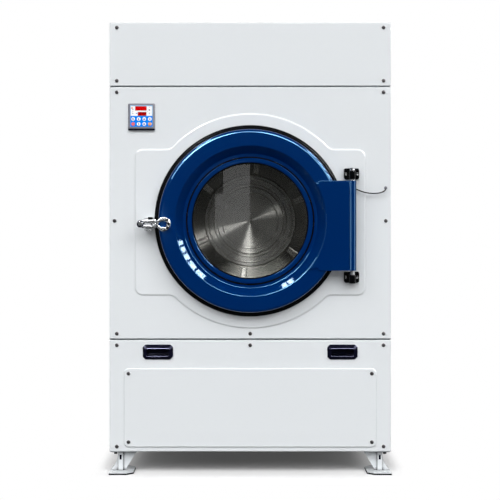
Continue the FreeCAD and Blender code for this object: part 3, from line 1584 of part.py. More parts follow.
def foot(word, side, rear):
    """One foot: floor plate, top plate, web with a hollow flank, slotted front strip."""
    def depths(low, high):
        if rear:
            return (size.cabinet_depth - high, size.cabinet_depth - low)
        return (low, high)

    start = size.foot_setback
    plate_z = size.foot_plate
    top_z = size.foot_height - size.foot_top_plate
    plate_start = start - size.foot_plate_lead
    plate_depths = depths(plate_start, start + size.foot_length)
    inner_x = side * (half_width - size.foot_width)
    cut_x = side * (half_width - size.foot_width + size.foot_corner)
    plate = new_body(f"{word}_plate")
    plan = new_sketch(plate, "XY_Plane")
    outline(plan, [
        (side * half_width, plate_depths[0]), (cut_x, plate_depths[0]),
        (inner_x, plate_depths[0] + size.foot_corner), (inner_x, plate_depths[1] - size.foot_corner),
        (cut_x, plate_depths[1]), (side * half_width, plate_depths[1]),
    ])
    pad(plate, plan, plate_z)
    place(plate, 0, 0, plate_z)
    top_plate = box(f"{word}_top", mirrored(side, half_width - size.foot_top_width, half_width),
                    depths(start, start + size.foot_length), (top_z, size.foot_height))
    web_depths = depths(start + size.foot_web_setback, start + size.foot_web_setback + size.foot_web)
    web = new_body(f"{word}_web")
    face = new_sketch(web, "XZ_Plane", web_depths[0])
    outline(face, [
        (side * half_width, plate_z), (side * (half_width - size.foot_flank), top_z),
        (side * (half_width - size.foot_top_width), top_z), (side * (half_width - size.foot_toe), plate_z),
    ])
    pad(web, face, size.foot_web)
    place(web, 0, 0, 0)
    rise = (top_z - plate_z) / 2
    chord = root(rise * rise + size.foot_flank * size.foot_flank / 4)
    offset = root(size.foot_flank_radius * size.foot_flank_radius - chord * chord)
    hollow_x = half_width - size.foot_flank / 2 + offset * rise / chord
    hollow_z = plate_z + rise + offset * size.foot_flank / 2 / chord
    hollow = rod(f"{word}_hollow", "y", size.foot_flank_radius, side * hollow_x,
                 web_depths[0] - size.skin, hollow_z, size.foot_web + size.skin * 2)
    strip_x = mirrored(side, half_width - size.foot_strip_inset - size.foot_strip_width,
                       half_width - size.foot_strip_inset)
    strip_depths = depths(start + size.foot_web_setback - size.foot_strip_depth,
                          start + size.foot_web_setback + size.foot_web)
    strip = box(f"{word}_strip", strip_x, strip_depths, (plate_z, top_z))
    slot_x = (strip_x[0] + strip_x[1]) / 2
    slot_high = top_z - size.foot_slot_drop
    slot = box(f"{word}_slot", (slot_x - size.foot_slot_width / 2, slot_x + size.foot_slot_width / 2),
               (strip_depths[0] - size.skin, strip_depths[1] + size.skin),
               (slot_high - size.foot_slot_height, slot_high))
    anchor_depth = depths(plate_start + size.anchor_setback, plate_start + size.anchor_setback)[0]
    anchor = rod(f"{word}_anchor", "z", size.anchor_radius, side * (half_width - size.anchor_inset),
                 anchor_depth, -size.skin, plate_z + size.skin * 2)
    bolt_holes = [
        rod(f"{word}_bolt_hole_{number}", "z", size.foot_bolt_radius + size.fit, side * foot_bolt_x,
            depths(reach, reach)[0], top_z - size.skin, size.foot_top_plate + size.skin * 2)
        for number, reach in enumerate(foot_bolt_reach)
    ]
    trimmed = cut(f"{word}_trimmed_web", web, [hollow])
    blank = join(f"{word}_blank", [plate, top_plate, trimmed, strip])
    return cut(word, blank, [slot, anchor] + bolt_holes)


def foot_bolt(number, x, depth):
    seat = size.foot_height - size.foot_top_plate
    body = turned(f"foot_bolt_{number}", "z", [
        (0, -size.foot_bolt_head_height), (size.foot_bolt_head, -size.foot_bolt_head_height),
        (size.foot_bolt_head, 0), (size.foot_bolt_radius, 0),
        (size.foot_bolt_radius, size.foot_bolt_length), (0, size.foot_bolt_length),
    ])
    place(body, x, depth, seat)
    return body


feet = [
    foot(f"{end}_{word}_foot", side, end == "rear")
    for end in ("front", "rear")
    for side, word in ((-1, "left"), (1, "right"))
]
keep(group("foot_set", feet), "feet")
foot_bolts = [
    foot_bolt(number, side * foot_bolt_x, depth)
    for number, (side, depth) in enumerate((side, depth) for side in (-1, 1) for depth in foot_bolt_depths)
]
keep(group("foot_bolt_set", foot_bolts), "foot_bolts")


# Check everything, then write one file for each piece
doc.recompute()
for item in doc.Objects:
    if "Invalid" in item.State or "Error" in item.State:
        raise ValueError(f"{item.Name} failed: {item.State}")
for piece in kept:
    if piece.Shape.isNull() or not piece.Shape.isValid() or not piece.Shape.Solids:
        raise ValueError(f"{piece.Label} has no valid solid")
for piece in kept:
    piece.Shape.exportStep(f"parts/{piece.Label}.step")
print(len(kept), "pieces written")
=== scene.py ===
import math

import bmesh
import bpy
from mathutils import Matrix, Vector


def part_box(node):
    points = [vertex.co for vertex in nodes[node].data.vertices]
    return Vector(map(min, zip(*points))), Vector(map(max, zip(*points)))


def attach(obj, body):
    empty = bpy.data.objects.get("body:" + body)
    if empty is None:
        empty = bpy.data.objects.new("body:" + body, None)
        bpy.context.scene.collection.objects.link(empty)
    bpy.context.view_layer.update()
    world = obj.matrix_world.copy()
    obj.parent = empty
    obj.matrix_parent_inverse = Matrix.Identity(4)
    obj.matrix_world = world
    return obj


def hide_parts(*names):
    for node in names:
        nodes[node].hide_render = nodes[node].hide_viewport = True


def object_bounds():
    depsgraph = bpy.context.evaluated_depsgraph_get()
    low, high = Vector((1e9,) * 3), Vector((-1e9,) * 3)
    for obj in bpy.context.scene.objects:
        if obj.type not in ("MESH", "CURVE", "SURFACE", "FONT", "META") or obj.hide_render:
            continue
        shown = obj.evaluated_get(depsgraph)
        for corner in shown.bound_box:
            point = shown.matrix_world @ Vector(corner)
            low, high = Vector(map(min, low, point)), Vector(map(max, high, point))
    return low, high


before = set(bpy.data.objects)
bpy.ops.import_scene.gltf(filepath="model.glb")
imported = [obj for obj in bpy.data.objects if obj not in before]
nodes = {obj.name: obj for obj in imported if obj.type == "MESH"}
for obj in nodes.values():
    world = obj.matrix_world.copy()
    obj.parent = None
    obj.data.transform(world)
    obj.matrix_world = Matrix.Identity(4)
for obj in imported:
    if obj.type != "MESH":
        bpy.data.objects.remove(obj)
cadLow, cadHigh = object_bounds()
scene = bpy.context.scene
scene.view_settings.view_transform = "Standard"
print("frame loaded with", len(nodes), "nodes")

# Places that the pieces are set out from
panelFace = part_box("header_panel")[0].y  # front face of the panels
doorMiddle = (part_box("door_glass")[0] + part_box("door_glass")[1]) / 2
doorX, doorZ = doorMiddle.x * 1000, doorMiddle.z * 1000


# Small helpers
def linear(hexText):
    channels = [int(hexText[i:i + 2], 16) / 255 for i in (1, 3, 5)]
    return tuple(c / 12.92 if c <= 0.04045 else ((c + 0.055) / 1.055) ** 2.4 for c in channels) + (1.0,)


def addNode(tree, kind, values=None, links=None, **settings):
    node = tree.nodes.new("ShaderNode" + kind)
    for name, value in settings.items():
        setattr(node, name, value)
    for socket, value in (values or {}).items():
        node.inputs[socket].default_value = value
    for socket, source in (links or {}).items():
        tree.links.new(source, node.inputs[socket])
    return node


def perMetre(millimetres):
    return 1000 / millimetres


def startMaterial(name, **sockets):
    material = bpy.data.materials.new(name)
    material.use_nodes = True
    tree = material.node_tree
    tree.nodes.clear()
    shader = addNode(tree, "BsdfPrincipled", sockets)
    addNode(tree, "OutputMaterial", links={"Surface": shader.outputs[0]})
    return material, tree, shader


def tonesAndRough(tree, shader, share, colours, rough, fromRange=(0, 1)):
    # one pattern drives both the colour and the roughness
    tones = addNode(tree, "Mix", {6: linear(colours[0]), 7: linear(colours[1])}, {0: share}, data_type="RGBA")
    roughness = addNode(
        tree, "MapRange", {"From Min": fromRange[0], "From Max": fromRange[1], "To Min": rough[0],
        "To Max": rough[1]}, {"Value": share})
    tree.links.new(tones.outputs[2], shader.inputs["Base Color"])
    tree.links.new(roughness.outputs[0], shader.inputs["Roughness"])
    return tones.outputs[2]


cloudRange = (0.3, 0.7)  # where most of a noise pattern's values lie


def coatedSurface(
        name, *colours, cloudMm, rough, grainMm, relief, ior=1.5, metallic=0, shine=None, sheen=None,
        shadeReachMm=0, paintedShadeColour=None):
    # two tones in soft clouds, a roughness that wanders, a fine relief, and painted shade in inside corners when a
    # shade reach is given
    sockets = {"Metallic": metallic} if metallic else {"IOR": ior}
    if shine is not None:
        sockets["Specular IOR Level"] = shine
    if sheen:  # colour of its highlights
        sockets["Specular Tint"] = linear(sheen)
    material, tree, shader = startMaterial(name, **sockets)
    where = addNode(tree, "TexCoord").outputs["Object"]
    clouds = addNode(tree, "TexNoise", {"Scale": perMetre(cloudMm), "Detail": 4}, {"Vector": where})
    colour = tonesAndRough(tree, shader, clouds.outputs[0], colours, rough, cloudRange)
    grain = addNode(tree, "TexNoise", {"Scale": perMetre(grainMm), "Detail": 3}, {"Vector": where})
    bump = addNode(
        tree, "Bump", {"Strength": relief, "Distance": grainMm / 1000}, {"Height": grain.outputs[0]})
    tree.links.new(bump.outputs[0], shader.inputs["Normal"])
    if shadeReachMm:  # painted shade: a thin dark line is painted where two faces meet in an inside corner, darker the more closed in the corner is
        corner = addNode(tree, "AmbientOcclusion", {"Distance": shadeReachMm / 1000}, samples=8, only_local=True)
        shade = addNode(
            tree, "MapRange", {"From Min": 0.35, "From Max": 0.85}, {"Value": corner.outputs["AO"]})
        shadedColour = addNode(
            tree, "Mix", {6: linear(paintedShadeColour)}, {0: shade.outputs[0], 7: colour}, data_type="RGBA")
        tree.links.new(shadedColour.outputs[2], shader.inputs["Base Color"])
    return material


# White powder coat on folded sheet steel: satin, even, with a faint orange peel, and painted shade in its inside
# corners.
# The real peel is about 1 mm and would not show, so it is drawn at 6 mm.
powderCoat = coatedSurface(
    "whitePowderCoat", "#E1E5E8", "#E0E4E7", cloudMm=500, rough=(0.25, 0.27), grainMm=6, relief=0.008,
    shadeReachMm=12, paintedShadeColour="#505254")
# Stove enamel on pressed steel: deep blue under a clear gloss that mirrors the lamps.
blueEnamel = coatedSurface(
    "blueStoveEnamel", "#00285F", "#002358", cloudMm=160, rough=(0.045, 0.07), grainMm=9, relief=0.006,
    shine=0.42, sheen="#8CD0FF")
# Moulded EPDM rubber: near black, with a soft grey sheen where light grazes it.
mouldedRubber = coatedSurface(
    "mouldedRubber", "#08090A", "#0C0D0F", cloudMm=40, rough=(0.22, 0.3), grainMm=2.5, relief=0.05,
    shine=0.08)
# Black enamel on cast hinge brackets: dark gloss with a slightly pebbled skin.
blackEnamel = coatedSurface(
    "blackEnamelOnCasting", "#08090B", "#040506", cloudMm=25, rough=(0.08, 0.14), grainMm=3, relief=0.03,
    shine=0.2)
# Polished chrome plate on a casting: bright, with gentle waviness in its reflections.
polishedChrome = coatedSurface(
    "polishedChrome", "#EEF0F2", "#DDE0E4", cloudMm=20, rough=(0.2, 0.28), grainMm=8, relief=0.02, metallic=1)
# Zinc plated steel: bright grey with a mottled, blurred shine.
zincPlate = coatedSurface(
    "brightZincPlate", "#E6E8EA", "#CDD0D4", cloudMm=9, rough=(0.22, 0.36), grainMm=2, relief=0.04,
    metallic=1)
# Blackened screw heads: brown grey metal, dull from the oxide.
blackenedScrew = coatedSurface(
    "blackenedScrewSteel", "#646163", "#4B484A", cloudMm=4, rough=(0.35, 0.5), grainMm=1.5, relief=0.05,
    metallic=0.75)
# Grey ABS moulding: fine spark grain that breaks up its shine.
greyAbs = coatedSurface(
    "greyMouldedAbs", "#80808A", "#777781", cloudMm=30, rough=(0.38, 0.48), grainMm=1.6, relief=0.05,
    ior=1.53)
# Black ABS moulding: blue black with a fine grain, half gloss.
blackAbs = coatedSurface(
    "blackMouldedAbs", "#0F1022", "#0A0A18", cloudMm=30, rough=(0.06, 0.09), grainMm=1.8, relief=0.015,
    ior=1.53, shine=0.35, sheen="#D4D6FF")
# Soft PVC jacket on the lead: dark grey with a waxy half shine.
pvcJacket = coatedSurface(
    "greyPvcJacket", "#2A292C", "#201F22", cloudMm=12, rough=(0.14, 0.22), grainMm=2, relief=0.04, ior=1.52)
# Moulded acrylic key caps: three colours of smooth plastic with a satin face.
keyFinish = {"cloudMm": 6, "rough": (0.28, 0.36), "grainMm": 1.2, "relief": 0.03, "ior": 1.49}
keyWhite = coatedSurface("whiteKeyPlastic", "#FFFFFF", "#FBFCFF", **keyFinish)
keyRed = coatedSurface("redKeyPlastic", "#F2787E", "#EC646C", **keyFinish)
keyOrange = coatedSurface("orangeKeyPlastic", "#F4B084", "#EA9C66", **keyFinish)
# Grey machine paint on cast iron: flat, slightly grainy from the sand mould.
castIronPaint = coatedSurface(
    "greyPaintOnCastIron", "#73787D", "#62676C", cloudMm=35, rough=(0.42, 0.58), grainMm=3, relief=0.12)
# Ground steel shaft: close grey metal with a tight streaked shine.
groundSteel = coatedSurface(
    "groundShaftSteel", "#C2C4C7", "#AFB2B6", cloudMm=14, rough=(0.2, 0.3), grainMm=1.5, relief=0.03,
    metallic=1)
# Pressure cast aluminium: pale grey metal with a soft flow-marked skin.
castAluminium = coatedSurface(
    "castAluminium", "#C9CCCF", "#B3B7BC", cloudMm=28, rough=(0.36, 0.5), grainMm=3, relief=0.08, metallic=1)
# Heat tinted sheath of the heating rods: straw to blue brown bands on dull metal.
heatTint = coatedSurface(
    "heatTintedSheath", "#8C7350", "#474A63", cloudMm=45, rough=(0.34, 0.5), grainMm=2, relief=0.05,
    metallic=1)


# Hot dip galvanised sheet: a mosaic of zinc crystals about 14 mm across, each a little different in shine.
def galvanisedSheet(crystalMm, colours, rough):
    material, tree, shader = startMaterial("galvanisedSheet", Metallic=1.0)
    where = addNode(tree, "TexCoord").outputs["Object"]
    crystals = addNode(tree, "TexVoronoi", {"Scale": perMetre(crystalMm)}, {"Vector": where})
    tonesAndRough(tree, shader, crystals.outputs["Color"], colours, rough)
    return material


# Rolled stainless sheet: cool grey metal, its grain lines drawn at 1.2 mm so that they show.
def rolledStainless(lineMm, lineLength, colours, rough):
    material, tree, shader = startMaterial("rolledStainless", Metallic=1.0, Anisotropic=0.4)
    where = addNode(tree, "TexCoord").outputs["Object"]
    stretched = addNode(tree, "Mapping", {"Scale": (1, 1, lineLength)}, {"Vector": where})
    lines = addNode(
        tree, "TexNoise", {"Scale": perMetre(lineMm), "Detail": 2}, {"Vector": stretched.outputs[0]})
    tonesAndRough(tree, shader, lines.outputs[0], colours, rough)
    return material


# Toughened door glass: clear with a trace of green, sharp reflections, and it lets the lamps light the drum.
def toughenedGlass(tint):
    material, tree, shader = startMaterial(
        "toughenedGlass", **{"Base Color": linear(tint), "Roughness": 0.0, "IOR": 1.5,
        "Transmission Weight": 1.0})
    shadowRay = addNode(tree, "LightPath").outputs["Is Shadow Ray"]
    clear = addNode(tree, "BsdfTransparent", {"Color": linear(tint)})
    pane = addNode(tree, "MixShader", links={0: shadowRay, 1: shader.outputs[0], 2: clear.outputs[0]})
    tree.links.new(pane.outputs[0], tree.nodes["Material Output"].inputs["Surface"])
    return material


galvanised = galvanisedSheet(crystalMm=14, colours=("#B9BFC4", "#9AA1A8"), rough=(0.3, 0.5))
stainless = rolledStainless(lineMm=1.2, lineLength=0.04, colours=("#C6C9CB", "#A9ADB0"), rough=(0.24, 0.36))
doorGlass = toughenedGlass("#F4F6F4")

slotFinish = {
    "white_enamel": powderCoat, "blue_enamel": blueEnamel, "door_glass": doorGlass,
    "black_rubber": mouldedRubber, "black_enamel": blackEnamel, "chrome": polishedChrome,
    "bright_steel": zincPlate, "dark_screw": blackenedScrew, "grey_plastic": greyAbs,
    "black_plastic": blackAbs, "cable_jacket": pvcJacket, "white_key": keyWhite, "red_key": keyRed,
    "orange_key": keyOrange, "stainless": stainless, "galvanised": galvanised, "machined_steel": groundSteel,
    "grey_iron": castIronPaint, "fan_alloy": castAluminium, "heater_steel": heatTint}
for node in nodes.values():
    for place in node.material_slots:
        place.material = slotFinish[place.material.name.split(".")[0]]
nodes["foot_bolts"].material_slots[0].material = blackenedScrew
nodes["cable_grommet"].material_slots[0].material = greyAbs
print("finishes made:", len(slotFinish))


# Mesh helpers, all in millimetres from the machine's middle line, depth counted back from the panel face
def point(x, depth, z):
    return Vector((x / 1000, panelFace + depth / 1000, z / 1000))


def depthOf(y):
    return (y - panelFace) * 1000


def middleOf(box):
    # x and z of a box's middle
    return (box[0].x + box[1].x) * 500, (box[0].z + box[1].z) * 500


def meshFrom(name, work, sharpAngle=32):
    bmesh.ops.remove_doubles(work, verts=work.verts, dist=1e-6)
    bmesh.ops.recalc_face_normals(work, faces=work.faces)
    mesh = bpy.data.meshes.new(name)
    work.to_mesh(mesh)
    work.free()
    mesh.shade_smooth()
    mesh.set_sharp_from_angle(angle=math.radians(sharpAngle))
    return mesh


def addPiece(name, shape, slot, body, *stands, finish=None, sharpAngle=32):
    # shape is a mesh, or a bmesh still to be made into one; stands are the nodes that the piece stands for
    mesh = meshFrom(name, shape, sharpAngle) if isinstance(shape, bmesh.types.BMesh) else shape
    piece = bpy.data.objects.new(name, mesh)
    scene.collection.objects.link(piece)
    mesh.materials.append(finish or slotFinish[slot])
    piece.modifiers.new("shading", "WEIGHTED_NORMAL").keep_sharp = True  # flats stay flat beside roundings
    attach(piece, body)
    if stands:
        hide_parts(*stands)
    return piece


def roundedOutline(corners, steps=6):
    # corners are (x, z, radius); each becomes an arc of that radius
    points = []
    for index, (x, z, radius) in enumerate(corners):
        if radius <= 0:
            points.append((x, z))
            continue
        here = Vector((x, z))
        before = (Vector(corners[index - 1][:2]) - here).normalized()
        after = (Vector(corners[(index + 1) % len(corners)][:2]) - here).normalized()
        bend = before.angle(after)
        run = radius / math.tan(bend / 2)
        centre = here + (before + after).normalized() * (radius / math.sin(bend / 2))
        start, end = here + before * run - centre, here + after * run - centre
        first = math.atan2(start.y, start.x)
        sweep = (math.atan2(end.y, end.x) - first + math.pi) % (2 * math.pi) - math.pi
        for step in range(steps + 1):
            angle = first + sweep * step / steps
            points.append((centre.x + radius * math.cos(angle), centre.y + radius * math.sin(angle)))
    return points


def roundedBox(x, z, halfWidth, halfHeight, radius, steps=6):
    spots = (
        (x - halfWidth, z - halfHeight), (x + halfWidth, z - halfHeight), (x + halfWidth, z + halfHeight),
        (x - halfWidth, z + halfHeight))
    return roundedOutline([(a, b, radius) for a, b in spots], steps)


def arcPoints(x, z, radius, first, last, steps=8):
    angles = [math.radians(first + (last - first) * k / steps) for k in range(steps + 1)]
    return [(x + radius * math.cos(a), z + radius * math.sin(a)) for a in angles]


def circle(x, z, radius, steps=48):
    angles = [2 * math.pi * k / steps for k in range(steps)]
    return [(x + radius * math.cos(a), z + radius * math.sin(a)) for a in angles]


def uprightRing(x, depth, radius, z, steps):
    return [point(a, b, z) for a, b in circle(x, depth, radius, steps)]


def turned(profile, x, z, turns=192, closed=True, into=None):
    # turns (radius, depth) pairs about a line along Y through x, z
    work = bmesh.new() if into is None else into
    rings = []
    for radius, depth in profile:
        spots = circle(x, z, radius, turns) if radius > 0 else [(x, z)]
        rings.append([work.verts.new(point(a, depth, b)) for a, b in spots])
    for first, second in list(zip(rings, rings[1:])) + ([(rings[-1], rings[0])] if closed else []):
        for step in range(turns):
            after = (step + 1) % turns
            corners = [
                first[step % len(first)], second[step % len(second)], second[after % len(second)],
                first[after % len(first)]]
            corners = list(dict.fromkeys(corners))
            if len(corners) > 2:
                work.faces.new(corners)
    return work


def skin(rings, capEnds=True, into=None):
    work = bmesh.new() if into is None else into
    rows = [[work.verts.new(spot) for spot in ring] for ring in rings]
    for first, second in zip(rows, rows[1:]):
        for step in range(len(first)):
            after = (step + 1) % len(first)
            work.faces.new((first[step], second[step], second[after], first[after]))
    if capEnds:
        work.faces.new(rows[0])
        work.faces.new(rows[-1])
    return work


def plate(outlines, front, back, bevel, into=None):
    # flat plate with rounded edges; the first outline is the outside, the rest are holes
    work = bmesh.new() if into is None else into
    flat = bpy.data.curves.new("plate", "CURVE")
    flat.dimensions = "2D"
    flat.fill_mode = "BOTH"
    flat.extrude = (back - front) / 2000 - bevel / 1000
    flat.bevel_depth = bevel / 1000
    flat.bevel_resolution = 3
    flat.offset = -bevel / 1000  # the rounding stays inside the outline
    for index, outline in enumerate(outlines):
        area = sum(a[0] * b[1] - b[0] * a[1] for a, b in zip(outline, outline[1:] + outline[:1]))
        line = flat.splines.new("POLY")
        line.points.add(len(outline) - 1)
        for spot, (x, z) in zip(line.points, outline if (area > 0) == (index == 0) else outline[::-1]):
            spot.co = (x / 1000, z / 1000, 0, 1)
        line.use_cyclic_u = True
    holder = bpy.data.objects.new("plate", flat)
    mesh = bpy.data.meshes.new_from_object(holder)
    mesh.transform(Matrix.Translation(point(0, (front + back) / 2, 0)) @ Matrix.Rotation(math.pi / 2, 4, "X"))
    work.from_mesh(mesh)
    bpy.data.objects.remove(holder)
    bpy.data.curves.remove(flat)
    bpy.data.meshes.remove(mesh)
    return work


def looseBoxes(name):
    # low and high corners of each separate solid in a node
    work = bmesh.new()
    work.from_mesh(nodes[name].data)
    bmesh.ops.remove_doubles(work, verts=work.verts, dist=1e-5)
    left, boxes = set(work.verts), []
    while left:
        reached, edge = [], [left.pop()]
        while edge:
            spot = edge.pop()
            reached.append(spot.co.copy())
            for link in spot.link_edges:
                other = link.other_vert(spot)
                if other in left:
                    left.remove(other)
                    edge.append(other)
        boxes.append((Vector(map(min, *reached)), Vector(map(max, *reached))))
    work.free()
    return sorted(boxes, key=lambda box: box[0].to_tuple(4))  # the same order in every run


def softenNode(name, width):
    # the frame's mesh stays as packed; modifiers join its faces and round its edges
    stack = nodes[name].modifiers
    stack.new("weld", "WELD").merge_threshold = 1e-5
    flat = stack.new("flat", "DECIMATE")
    flat.decimate_type = "DISSOLVE"
    flat.angle_limit = math.radians(1)
    bevel = stack.new("bevel", "BEVEL")
    bevel.width = width / 1000
    bevel.segments = 3
    bevel.limit_method = "ANGLE"
    bevel.angle_limit = math.radians(40)
    stack.new("shading", "WEIGHTED_NORMAL")


# Camera: level, square to the front, 4.5 m off, framed as in the photograph
view = {
    "distance": 4.5, "height": 0.905, "span": 1.7775, "middleX": -0.0007, "middleZ": 0.7963, "sensorMm": 36}
camera = bpy.data.objects.new("camera", bpy.data.cameras.new("camera"))
scene.collection.objects.link(camera)
camera.location = (0, panelFace - view["distance"], view["height"])
camera.rotation_euler = (math.pi / 2, 0, 0)
camera.data.lens = view["sensorMm"] * view["distance"] / view["span"]
camera.data.shift_x = view["middleX"] / view["span"]
camera.data.shift_y = (view["middleZ"] - view["height"]) / view["span"]
scene.camera = camera

# Door switch lead: a short soft lead from the switch, sagging once, into its grommet
lead = {"start": (0.356, panelFace, 1.017), "diameter": 0.0044, "length": 0.145,
        "route": ((0, -14, 0), (10, -14, 0), (24, -14.5, -7), (46, -15.5, -15.5), (70, -16, -20),
                  (94, -16, -19.7), (111, -15.5, -16), (121.5, -14.5, -10), (125.5, -12, -3), (125.5, -7, 0),
                  (125.5, -2, 0))}
leadLine = bpy.data.curves.new("switchCable", "CURVE")
leadLine.dimensions = "3D"
leadLine.bevel_depth = lead["diameter"] / 2
leadLine.bevel_resolution = 6
leadLine.resolution_u = 16
leadLine.use_fill_caps = True
spline = leadLine.splines.new("NURBS")
spline.points.add(len(lead["route"]) - 1)
for knot, step in zip(spline.points, lead["route"]):
    knot.co = (*(Vector(lead["start"]) + Vector(step) / 1000), 1)
spline.order_u = 3
spline.use_endpoint_u = True
switchCable = bpy.data.objects.new("switchCable", leadLine)
scene.collection.objects.link(switchCable)
leadLine.materials.append(pvcJacket)
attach(switchCable, "cabinet")
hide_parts("switch_cable")
print("camera and lead placed")

# Pressed edge of the raised field: a rounded slope from the field down to the panel
field = {"halfWide": 407, "above": 252, "below": 262, "radius": 379, "corner": 25, "hollow": 35, "sharp": 60,
         "slope": ((-4, -4.06), (-2.2, -4), (-0.6, -3.65), (1.2, -2.7), (3, -1), (3.6, -0.06), (10, -0.05),
                   (10, 0.4), (-4, 0.4), (-4, -4.06))}  # how far out, and how deep


def fieldHalf(edge, grow):
    # from the right side over the round swell to the left side, in mm from the door's middle
    side, corner, hollow = field["halfWide"] - field["corner"], field["corner"] + grow, field["hollow"] - grow
    rise = edge + field["hollow"]
    across = math.sqrt((field["radius"] + field["hollow"]) ** 2 - rise ** 2)
    lean = math.degrees(math.atan2(rise, across))
    return (arcPoints(side, edge - field["corner"], corner, 0, 90)
            + arcPoints(across, rise, hollow, -90, lean - 180)
            + arcPoints(0, 0, field["radius"] + grow, lean, 180 - lean, 48)
            + arcPoints(-across, rise, hollow, -lean, -90)
            + arcPoints(-side, edge - field["corner"], corner, 90, 180))


fieldRings = [[point(doorX + x, depth, doorZ + z) for x, z in fieldHalf(field["above"], grow)]
              + [point(doorX + x, depth, doorZ - z) for x, z in fieldHalf(field["below"], grow)[::-1]]
              for grow, depth in field["slope"]]
fieldEdge = addPiece(
    "fieldEdge", skin(fieldRings, capEnds=False), "white_enamel", "cabinet", sharpAngle=field["sharp"])

# Door: one pressing turned about the glass, with a rolled rim, a deep dish and a flat step round the glass
door = {
    "rim": 323, "rimRound": 12, "dishLip": 264, "dishFoot": 238, "glassHole": 205, "front": -60, "foot": -24,
    "back": -18, "wall": 4, "flange": 298, "turns": 256}
innerRim, innerFront = door["rim"] - door["wall"], door["front"] + door["wall"]
innerFoot, flangeFront = door["foot"] + door["wall"], door["back"] - door["wall"]
pressing = roundedOutline([
    (door["rim"], door["back"], 0), (door["rim"], door["front"], door["rimRound"]),
    (door["dishLip"], door["front"], 4), (door["dishFoot"], door["foot"], 3),
    (door["glassHole"], door["foot"], 1), (door["glassHole"], innerFoot, 0),
    (door["dishFoot"] + 2, innerFoot, 2), (door["dishLip"] + 2, innerFront, 2),
    (innerRim, innerFront, door["rimRound"] - door["wall"]), (innerRim, flangeFront, 0),
    (door["flange"], flangeFront, 0), (door["flange"], door["back"], 0)], 8)
edgePieces = [addPiece(
    "doorPressing", turned(pressing, doorX, doorZ, door["turns"]), "blue_enamel", "door", "door_frame")]

# Clamp bead: a rounded ring that holds the glass
bead = {"outside": 222, "inside": 206, "front": -31, "back": -24, "round": 4}
beadProfile = roundedOutline(
    [(bead["outside"], bead["back"], 0), (bead["outside"], bead["front"], bead["round"]),
    (bead["inside"], bead["front"], bead["round"]), (bead["inside"], bead["back"], 0)], 8)
addPiece(
    "clampBead", turned(beadProfile, doorX, doorZ, door["turns"]), "blue_enamel", "door", "glass_clamp_ring")

# Gasket: hollow door seal with two lips, the outer one squeezed against the panel
gasket = {"outside": 340, "inside": 304, "front": -18, "back": -4.3}
gasketProfile = roundedOutline([
    (gasket["inside"], gasket["front"], 1), (gasket["outside"] - 9, gasket["front"], 3),
    (gasket["outside"] - 5, gasket["front"] + 3.5, 1.2), (gasket["outside"] - 1.5, gasket["front"] + 3, 1.6),
    (gasket["outside"], gasket["back"] - 2, 2), (gasket["outside"] - 4, gasket["back"], 2),
    (gasket["inside"], gasket["back"], 3)], 5)
addPiece(
    "doorGasket", turned(gasketProfile, doorX, doorZ, door["turns"]), "black_rubber", "door", "door_gasket")

# Seal lips: thin black lines on both sides of the bead; the inner one is the glass seal, the outer one is painted
# shade for the dark gap between the bead and the dish foot
# each ring has its inside, outside and front
lips = {"rings": ((222.2, 227.4, -26), (201.6, 206.2, -28)), "root": -22, "round": 1.2}
work = bmesh.new()
for inner, outer, front in lips["rings"]:
    lip = roundedOutline(
        [(inner, lips["root"], 0), (inner, front, lips["round"]), (outer, front, lips["round"]),
        (outer, lips["root"], 0)], 4)
    turned(lip, doorX, doorZ, door["turns"], into=work)
addPiece("sealLipAndGapShade", work, "black_rubber", "door")
print("door turned")

# Hinge brackets: base plate with two ears, and a knuckle that leaves the pin's end bare above it
# low and high are corner radii
bracket = {
    "half": 27, "low": 9, "high": 5, "plate": 8, "face": -4, "edge": 1.5, "knuckle": 11.2, "bare": 10,
    "earOut": 20.5, "earHalf": 6, "earDepth": 18, "earEdge": 1.2}
pinLow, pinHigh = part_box("hinge_pin")
pinX, pinDepth = (pinLow.x + pinHigh.x) * 500, depthOf((pinLow.y + pinHigh.y) / 2)
knuckle, foot = bracket["knuckle"], bracket["face"] - 1
bend = [math.pi * k / 16 for k in range(1, 16)]
nose = [(pinX - knuckle * math.cos(a), pinDepth - knuckle * math.sin(a)) for a in bend]
section = [(pinX - knuckle, foot), (pinX - knuckle, pinDepth)] + nose
section += [(pinX + knuckle, pinDepth), (pinX + knuckle, foot)]
easedSection = [(pinX + (x - pinX) * 0.92, y + 0.9 if y < pinDepth else y) for x, y in section]
plateFront = bracket["face"] - bracket["plate"]
work = bmesh.new()
for low, high in looseBoxes("hinge_brackets"):
    bottom, top = low.z * 1000, high.z * 1000
    middle, halfTall, knuckleTop = (bottom + top) / 2, (top - bottom) / 2, top - bracket["bare"]
    left, right = pinX - bracket["half"], pinX + bracket["half"]
    base = roundedOutline(
        [(left, bottom, bracket["low"]), (right, bottom, bracket["low"]), (right, top, bracket["high"]),
        (left, top, bracket["high"])])
    plate([base], plateFront, bracket["face"], bracket["edge"], work)
    for earX in (pinX - bracket["earOut"], pinX + bracket["earOut"]):
        ear = roundedBox(earX, middle, bracket["earHalf"], halfTall - 2.5, 4)
        plate(
            [ear, roundedBox(earX, middle + 2, 2.6, 8, 2.5)], bracket["face"] - bracket["earDepth"],
            plateFront + 1, bracket["earEdge"], work)
    levels = (
        (easedSection, bottom), (section, bottom + 1), (section, knuckleTop - 1), (easedSection, knuckleTop))
    skin([[point(x, y, z) for x, y in outline] for outline, z in levels], into=work)
addPiece("hingeBrackets", work, "black_enamel", "cabinet", "hinge_brackets")

